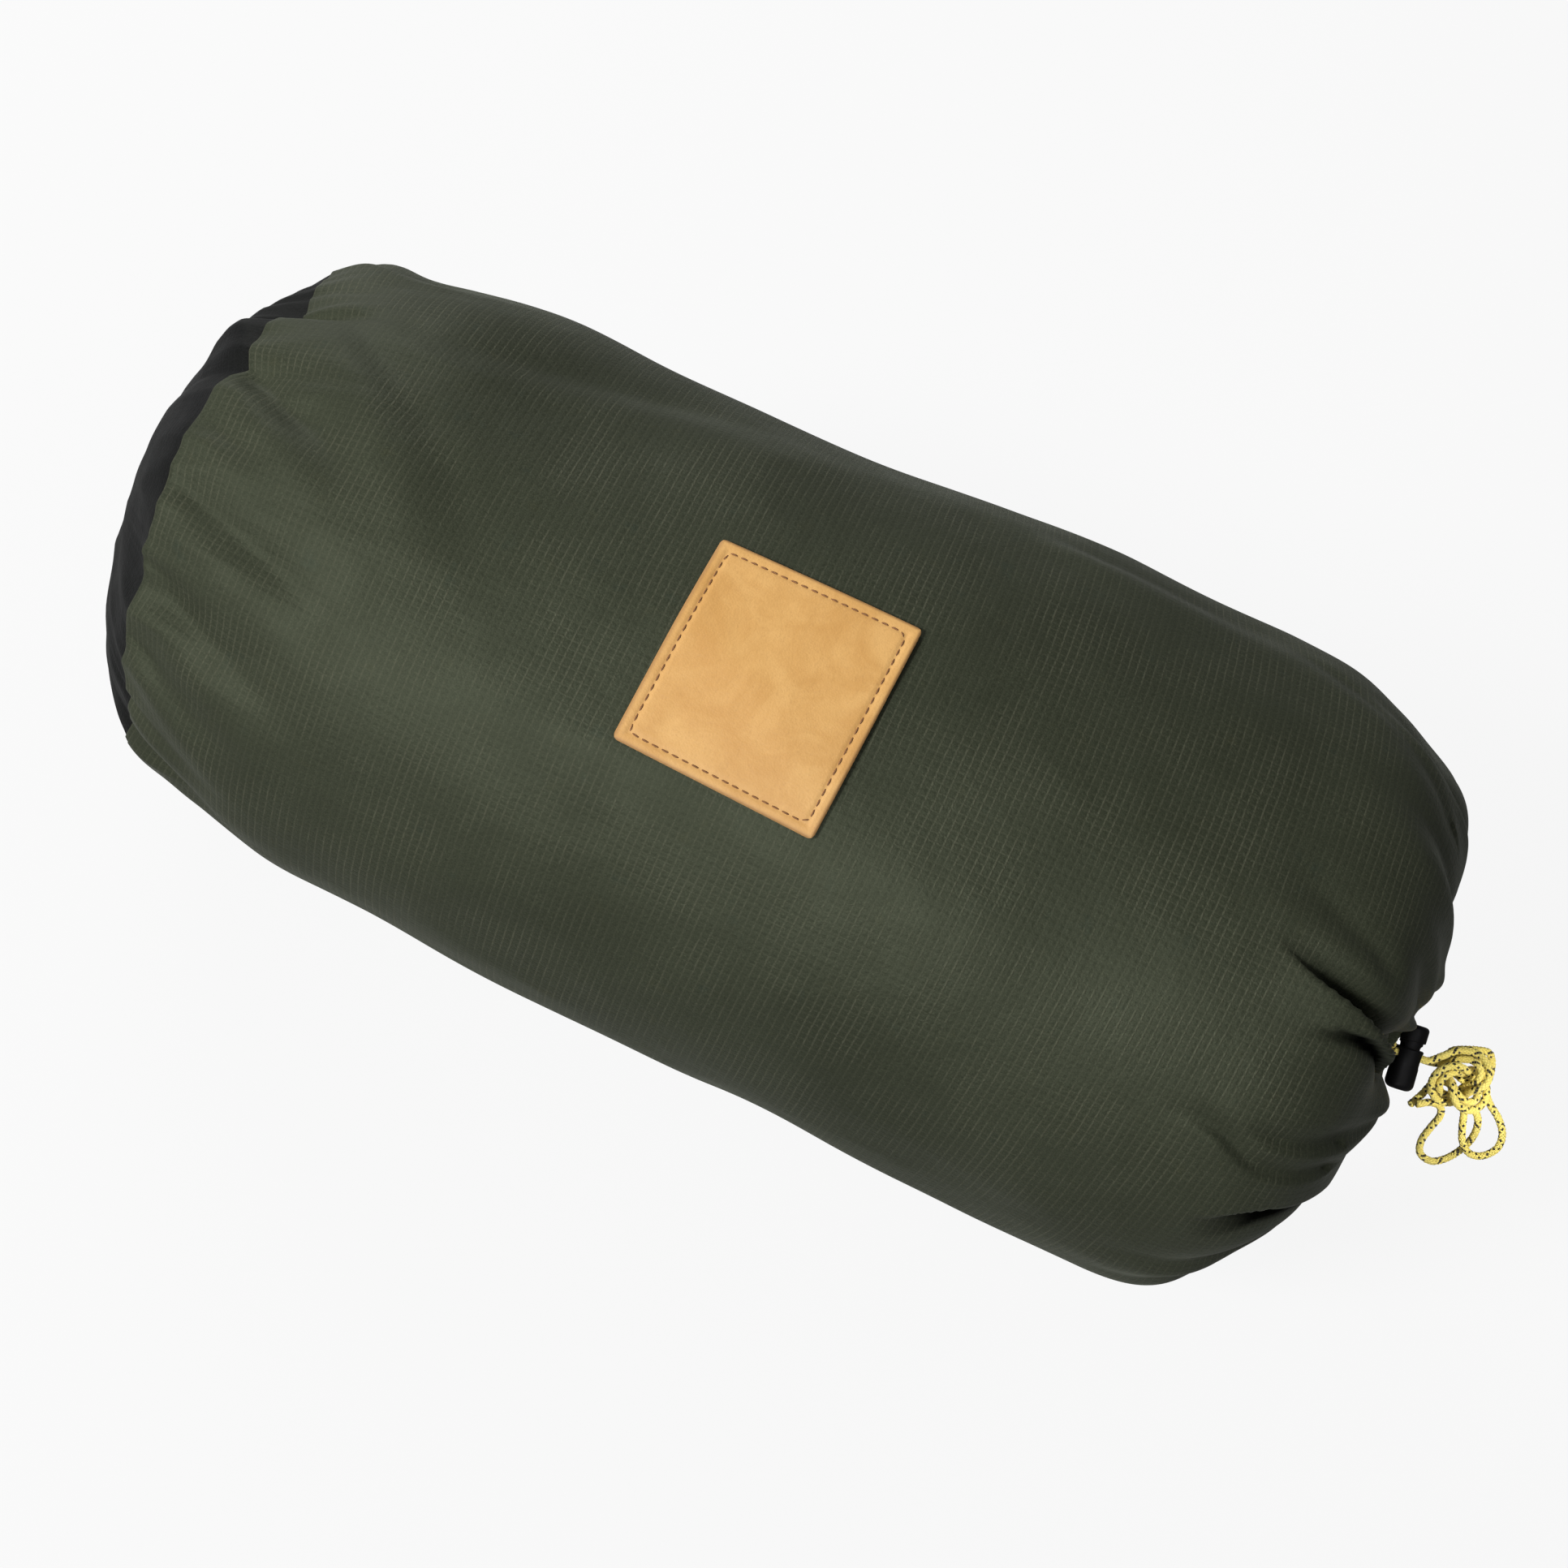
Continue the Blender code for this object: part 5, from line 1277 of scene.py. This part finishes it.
def channel_route():
    """The drawcord in its channel: in at the hem's eyelet, once round, and out again beside itself."""
    turns = np.linspace(EYELET_TURN, 2 * math.pi - EYELET_TURN, CHANNEL_POINTS)
    down, out = HEM_RING_RADIUS * (np.cos(turns) - 1), HEM_RING_RADIUS * np.sin(turns)
    ring = points_at(-HEM_THICKNESS / 2, down, out).tolist()
    return [hem_place(*point) for point in ((0, 0, STRAND_OFFSET), *ring, (0, 0, -STRAND_OFFSET))]


def braided_mesh(name, path):
    """A braided cord along a path: strands cross in both directions, over and under."""
    along = distances_along(path)
    a = along[:, None] / BRAID_PITCH
    b = even_turns(BRAID_SIDES) / (2 * math.pi) * BRAID_STRANDS
    right = np.cos(math.pi * (a + b)) ** 2
    left = np.cos(math.pi * (a - b)) ** 2
    over = 0.5 + 0.5 * np.cos(math.pi * a) * np.cos(math.pi * b)
    relief = BRAID_RELIEF * (0.5 - right * over - left * (1 - over))
    taper = smooth_step(np.minimum(along, along[-1] - along) / (1.1 * MM) + 0.62)
    radius = (CORD_DIAMETER / 2 - 0.05 * MM + relief) * taper[:, None]
    points = rings_round(path, radius[..., None], BRAID_SIDES)
    strands = np.linspace(0, BRAID_STRANDS, BRAID_SIDES + 1)
    mesh = grid_mesh(name, points[:, ::-1], (along / BRAID_PITCH, strands))
    clean_mesh(mesh, fill=True)
    return mesh


def make_cords(finish):
    """The two tails and the cord in the hem's channel."""
    for name, route in (
        ("drawcord_tail_upper", tail_route(1, UPPER_LEAD, UPPER_LOOP)),
        ("drawcord_tail_lower", tail_route(-1, LOWER_LEAD, LOWER_LOOP)),
        ("drawcord_in_hem", channel_route()),
    ):
        path = smooth_path(route, BRAID_STEP)
        piece = add_piece(name + "_braid", braided_mesh(name + "_braid", path), finish, "sack", "cord", name)


# The cord lock


def cut_cross_hole(piece, middle_height):
    """Cuts the hole for both strands, with rounded edges."""
    box = bmesh.new()
    bmesh.ops.create_cube(box, size=1)
    width = 2 * (STRAND_OFFSET + CORD_DIAMETER / 2 + CLEAR)
    bmesh.ops.scale(box, vec=(4 * LOCK_RADIUS, width, LOCK_HOLE_HEIGHT), verts=box.verts)
    long_edges = [edge for edge in box.edges if abs(edge.verts[0].co.x - edge.verts[1].co.x) > LOCK_RADIUS]
    bmesh.ops.bevel(box, geom=long_edges, offset=1.0 * MM, segments=6, affect="EDGES", profile=0.5)
    bmesh.ops.translate(box, vec=(0, 0, middle_height), verts=box.verts)
    cut_out(piece, box)


def make_spring(standing, finish):
    """The spring under the plunger, with a flat turn at each end."""
    low = LOCK_FLOOR - LOCK_DEPTH + CLEAR
    high = -CORD_DIAMETER / 2 - CLEAR - PLUNGER_FOOT - CLEAR
    turns = np.linspace(0, SPRING_TURNS, 240)
    rise = np.clip((turns - SPRING_END_TURN) / (SPRING_TURNS - 2 * SPRING_END_TURN), 0, 1)
    angle = 2 * math.pi * turns
    height = low + SPRING_WIRE / 2 + (high - low - SPRING_WIRE) * rise
    path = points_at(SPRING_RADIUS * np.cos(angle), SPRING_RADIUS * np.sin(angle), height)
    mesh = tube_mesh("lock_spring", [rings_round(path, SPRING_WIRE / 2, 12)], smooth=False)
    mesh.transform(standing)
    piece = add_piece("lock_spring", mesh, finish, "cord_lock", "steel", "cord_lock_spring")
    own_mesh(piece)


def make_lock(finish, steel):
    """Barrel, plunger and spring, standing across the cord with the cap at the top."""
    axes = Matrix((ALONG_CORD, -OUTWARD, -DOWN_LOCK)).transposed()
    standing = Matrix.Translation(lock_place(0, 0, 0)) @ axes.to_4x4()
    clearance = CORD_DIAMETER / 2 + CLEAR
    top = clearance + LOCK_BRIDGE
    bottom = -LOCK_DEPTH
    bore = LOCK_RADIUS - LOCK_WALL
    rounding = LOCK_RADIUS / 2
    barrel_profile = [
        (0, bottom + LOCK_FLOOR),
        (bore, bottom + LOCK_FLOOR),
        *arc(bore + 0.2 * MM, top - 0.2 * MM, 0.2 * MM, 180, 90, 4),
        *arc(LOCK_RADIUS - LOCK_EDGE, top - LOCK_EDGE, LOCK_EDGE, 90, 0, 6),
        (LOCK_RADIUS, -clearance - 2.2 * MM),
        (LOCK_RADIUS - 0.12 * MM, -clearance - 2.6 * MM),
        *arc(LOCK_RADIUS - rounding, bottom + rounding, rounding, 0, -90, 12),
        (0, bottom),
    ]
    stem = bore - CLEAR
    cap_bottom = top + PLUNGER_TRAVEL + CLEAR
    cap_top = cap_bottom + CAP_HEIGHT
    foot = -clearance - PLUNGER_FOOT
    plunger_profile = [
        (0, cap_top),
        *arc(CAP_RADIUS - CAP_DOME, cap_top - CAP_DOME, CAP_DOME, 90, 0, 10),
        *arc(CAP_RADIUS - CAP_EDGE, cap_bottom + CAP_EDGE, CAP_EDGE, 0, -90, 5),
        (stem, cap_bottom),
        (stem, foot + 0.3 * MM),
        (stem - 0.3 * MM, foot),
        (0, foot),
    ]
    for name, profile, body, hole in (
        ("barrel", barrel_profile, "cord_lock", clearance - LOCK_HOLE_HEIGHT / 2),
        ("plunger", plunger_profile, "plunger", LOCK_HOLE_HEIGHT / 2 - clearance),
    ):
        mesh = turned_mesh("lock_" + name, profile, 72)
        piece = add_piece("lock_" + name, mesh, finish, body, "black_plastic", "cord_lock_" + name)
        cut_cross_hole(piece, hole)
        piece.data.transform(standing)
    make_spring(standing, steel)


# The rolled tent and what it holds


def rolled_body(name, outer, bore, finish, node_name):
    """A roll of cloth along X, with a hole along its middle. outer gives the points of its outside.

    At its ends each layer stands out as a rounded edge along a spiral."""
    angle = even_turns(180)[None, :]
    x = np.linspace(ROLL_START + 1.7 * MM, ROLL_END - 1.7 * MM, 110)[:, None]
    outside = outer(x, angle)
    share = np.linspace(0, 1, 46)[1:, None]
    rows = [outside]
    for end, ring in ((1, outside[-1]), (-1, outside[0])):
        hole = points_at(ring[:, 0], bore * np.cos(angle[0]), ROLL_CORE_HEIGHT + bore * np.sin(angle[0]))
        face = ring[None] * (1 - share[..., None]) + hole[None] * share[..., None]
        radius = np.hypot(face[..., 1], face[..., 2] - ROLL_CORE_HEIGHT)
        layer = radius / LAYER_PITCH + angle * end / (2 * math.pi)
        depth = ROLL_EDGE * (1 - np.abs(np.sin(math.pi * layer)))
        face[..., 0] += end * (ROLL_EDGE * smooth_step(share * 12) - depth)
        rows.append(face if end > 0 else face[::-1])
    mesh = grid_mesh(name, np.concatenate([*rows, outside[:1]]))
    clean_mesh(mesh)
    return add_piece(name, mesh, finish, "sack", "inner_fabric", node_name)


def make_rolled_tent(finish):
    """The flysheet rolled round the rolled inner tent, which has bores for the two bags."""

    def flysheet(x, angle):
        radius = shoulder_radius(x) - ROLL_CLEAR_OF_FOLDS - 2.2 * MM * np.exp(-(x - SEAM_X) / (30 * MM))
        plain = round_points(x, radius, angle)
        s = x - SEAM_X
        dips = fold_relief(s, angle)[0] + crease_relief(s, angle)[0] + swell_relief(s, angle)
        plain = plain + normals_of(plain) * np.minimum(0.0, dips + 2 * MM)[..., None]
        wrinkle = 1.6 * noise_ridges(plain, (160 * MM, 22 * MM, 22 * MM), 51, 0.05, 1.0)
        made = plain + normals_of(plain) * (MM * wrinkle)[..., None]
        made[..., 2] = on_floor(made[..., 2], 2.3 * MM)
        return made

    def inner_tent(x, angle):
        across = [INNER_ROLL_RADIUS * np.cos(angle), ROLL_CORE_HEIGHT + INNER_ROLL_RADIUS * np.sin(angle)]
        plain = points_at(x, *across)
        wrinkle = 1.8 * noise_ridges(plain, (120 * MM, 18 * MM, 18 * MM), 53, 0.05, 1.0)
        return plain + normals_of(plain) * (MM * wrinkle)[..., None]

    bore = INNER_ROLL_RADIUS + STRAP_THICKNESS + 2 * CLEAR
    rolled_body("flysheet_rolled", flysheet, bore, finish, "flysheet_roll")
    inner = rolled_body("inner_tent_rolled", inner_tent, 0.0, finish, "inner_tent_roll")
    for radius, height in ((POLE_BAG_RADIUS, POLE_AXIS_HEIGHT), (PEG_BAG_RADIUS, PEG_AXIS_HEIGHT)):
        shape = bmesh.new()
        radii = {"radius1": radius + CLEAR, "radius2": radius + CLEAR}
        bmesh.ops.create_cone(shape, cap_ends=True, segments=64, depth=0.9, **radii)
        turn = Matrix.Translation((0, 0, height)) @ Matrix.Rotation(math.pi / 2, 4, "Y")
        bmesh.ops.transform(shape, matrix=turn, verts=shape.verts)
        cut_out(inner, shape)


def make_straps(finish):
    """Two webbing straps, with ribbed faces and soft edges."""
    inner = INNER_ROLL_RADIUS + CLEAR
    half = STRAP_WIDTH / 2
    heights = np.linspace(-half, half, 41)
    ribs = STRAP_RIB * np.cos(heights / (1.25 * MM) * math.pi) - STRAP_RIB
    edge = 0.5 * MM * np.maximum(0, 1 - (half - np.abs(heights)) / (0.8 * MM)) ** 2
    outer = [(inner + STRAP_THICKNESS + rib - e, h) for h, rib, e in zip(heights, ribs, edge)]
    profile = outer[::-1] + [(inner, -half + 0.4 * MM), (inner, half - 0.4 * MM)] + outer[-1:]
    for name, x in (("base_end", ROLL_START + STRAP_FROM_END), ("mouth_end", ROLL_END - STRAP_FROM_END)):
        name = "roll_strap_" + name
        mesh = turned_mesh(name + "_webbing", profile, 96)
        lying_along_x(mesh, x, ROLL_CORE_HEIGHT)
        add_piece(name + "_webbing", mesh, finish, "sack", "webbing", name)


def drawn_bag(name, radius, wall, length, height, finish):
    """A thin bag along X: round-cornered at its closed end, gathered to a narrow neck at the other."""
    corner = 2 * MM
    sides = 96
    outer = [(0, 0), (radius * 0.5, 0), *arc(radius - corner, corner, corner, -90, 0, 6)]
    outer += [(radius, h) for h in np.linspace(corner, length - corner, 60)[1:]]
    outer += [(BAG_NECK + (radius - BAG_NECK) * t, length - corner * t) for t in np.linspace(0.9, 0, 14)]
    inner = [(max(0.0, r - wall), min(max(h, wall), length)) for r, h in outer[::-1]]
    profile = np.array(outer + inner)
    angle = even_turns(sides)
    gather = np.abs(np.sin(11 * angle + 0.6 * np.sin(2 * angle)))
    r, h = profile.T[..., None]
    pulled_in = 0.15 * MM * (1 - gather) * (0.3 + np.exp(-(length - h) / (18 * MM))) * (r > BAG_NECK * 0.8)
    mesh = turned_mesh(name + "_cloth", profile, sides, pulled_in)
    lying_along_x(mesh, BAG_START, height)
    add_piece(name + "_cloth", mesh, finish, "sack", "ripstop", name)


def make_bags(finish):
    pole_bag_length = ROLL_END - ROLL_START - 6 * MM
    drawn_bag("pole_bag", POLE_BAG_RADIUS, POLE_BAG_WALL, pole_bag_length, POLE_AXIS_HEIGHT, finish)
    drawn_bag("peg_bag", PEG_BAG_RADIUS, PEG_BAG_WALL, PEG_BAG_LENGTH, PEG_AXIS_HEIGHT, finish)


def bundle_place(pole, section):
    """Y and Z of a pole section. Each pole has two in the inner ring of six, and four in the outer ring."""
    pitch = 2 * SECTION_RADIUS + CLEAR
    if section in (0, 5):
        turn = 2 * pole + (1 if section else 0)
        distance, angle = pitch, math.pi / 3 * turn
    else:
        turn = 4 * pole + section - 1
        distance = pitch * (math.sqrt(3) if turn % 2 else 2)
        angle = math.pi / 6 * turn
    return Vector((0, distance * math.cos(angle), POLE_AXIS_HEIGHT + distance * math.sin(angle)))


def make_shock_cords(finish):
    """The elastic cords through the poles' sections, turning from one to the next at alternate ends."""
    start = BAG_START + POLE_BAG_WALL + CLEAR + TIP_LENGTH
    aside = SECTION_BORE - SHOCK_CORD_RADIUS - CLEAR
    first = Vector((start + TIP_PLUG_LENGTH + CLEAR, 0, 0))
    for pole in range(3):
        places = [bundle_place(pole, section) for section in range(6)]
        points = [first + places[0] + (places[1] - places[0]).normalized() * aside]
        for section, (here, there) in enumerate(zip(places, places[1:])):
            outward = 1 if section % 2 == 0 else -1
            rim = start + SECTION_LENGTH if section % 2 == 0 else start
            across = (there - here).normalized()
            leave, enter = here + across * aside, there - across * aside
            half_width, middle = (enter - leave) / 2, (enter + leave) / 2
            for i in range(13):
                turn = math.pi * i / 12
                point = middle - half_width * math.cos(turn)
                point.x = rim + outward * half_width.length * math.sin(turn)
                points.append(point)
        points.append(first + places[5] + (places[4] - places[5]).normalized() * aside)
        path = np.array([tuple(point) for point in points])
        name = f"pole_{pole + 1}_shock_cord"
        mesh = tube_mesh(name + "_elastic", [rings_round(path, SHOCK_CORD_RADIUS, 16)])
        clean_mesh(mesh)
        add_piece(name + "_elastic", mesh, finish, "sack", "elastic", name)


def make_hank(finish):
    """The spare guy line: turns of cord wound flat, side by side and in layers."""
    middle = (BAG_START + PEG_BAG_LENGTH + 12 * MM + HANK_LENGTH / 2, 0, PEG_AXIS_HEIGHT)
    highest = (HANK_THICKNESS - CORD_DIAMETER) / 2
    turn = np.radians(np.arange(-90, 91, 15))
    half_loop = points_at(np.cos(turn), np.sin(turn), 0.0)
    turns = []
    for layer in range(HANK_LAYERS):
        half_width = (HANK_WIDTH - CORD_DIAMETER) / 2 - layer * (CORD_DIAMETER + 0.1 * MM)
        end = half_width * half_loop + ((HANK_LENGTH - HANK_WIDTH) / 2, 0, 0)
        loop = np.concatenate([end, -end])
        sideways = np.cross(np.roll(loop, -1, axis=0) - np.roll(loop, 1, axis=0), (0, 0, 1))
        sideways /= np.linalg.norm(sideways, axis=1, keepdims=True)
        for z in np.linspace(-highest, highest, HANK_LEVELS):
            path = loop + (0, 0, z) + middle
            turns.append(rings_round(path, CORD_DIAMETER / 2, 10, (sideways, np.array([(0, 0, 1.0)]))))
    mesh = tube_mesh("guy_line_wound", turns, closed=True)
    clean_mesh(mesh)
    add_piece("guy_line_wound", mesh, finish, "sack", "cord", "guy_line_hank")


def finish_metal_parts():
    """Better finishes for the part's own poles, tips and pegs."""
    alloy = metal_finish("pole_alloy", *POLE_GOLD, 0.3)
    aluminium = metal_finish("peg_alloy", *PEG_SILVER, 0.32)
    for name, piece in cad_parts.items():
        if "_section_" in name or name == "pole_repair_sleeve":
            finish = alloy
        elif "_tip_" in name or name.startswith("tent_peg"):
            finish = aluminium
        else:
            continue
        piece.data.materials.clear()
        piece.data.materials.append(finish)


def main():
    bpy.context.scene.view_settings.view_transform = "Standard"
    make_camera()
    make_floor()
    make_light()
    ripstop = ripstop_finish("ripstop", *OLIVE)
    base = ripstop_finish("base_fabric", *BASE_BLACK, 0.1, 0.05, 0.0)
    cord = cord_finish()
    steel = metal_finish("steel", *STEEL, 0.25)
    make_cords(cord)
    seam_ring = make_sack(ripstop)
    make_base(base, seam_ring)
    make_hem(ripstop)
    make_patch(leather_finish(), thread_finish(), sack_profile())
    make_lock(plastic_finish(), steel)
    make_rolled_tent(plain_cloth_finish("inner_fabric", *TENT_CREAM))
    make_straps(plain_cloth_finish("webbing", *WEBBING_BLACK, thread=0.001))
    make_bags(ripstop)
    make_shock_cords(plain_cloth_finish("elastic", *ELASTIC_BLACK))
    make_hank(cord)
    finish_metal_parts()


main()
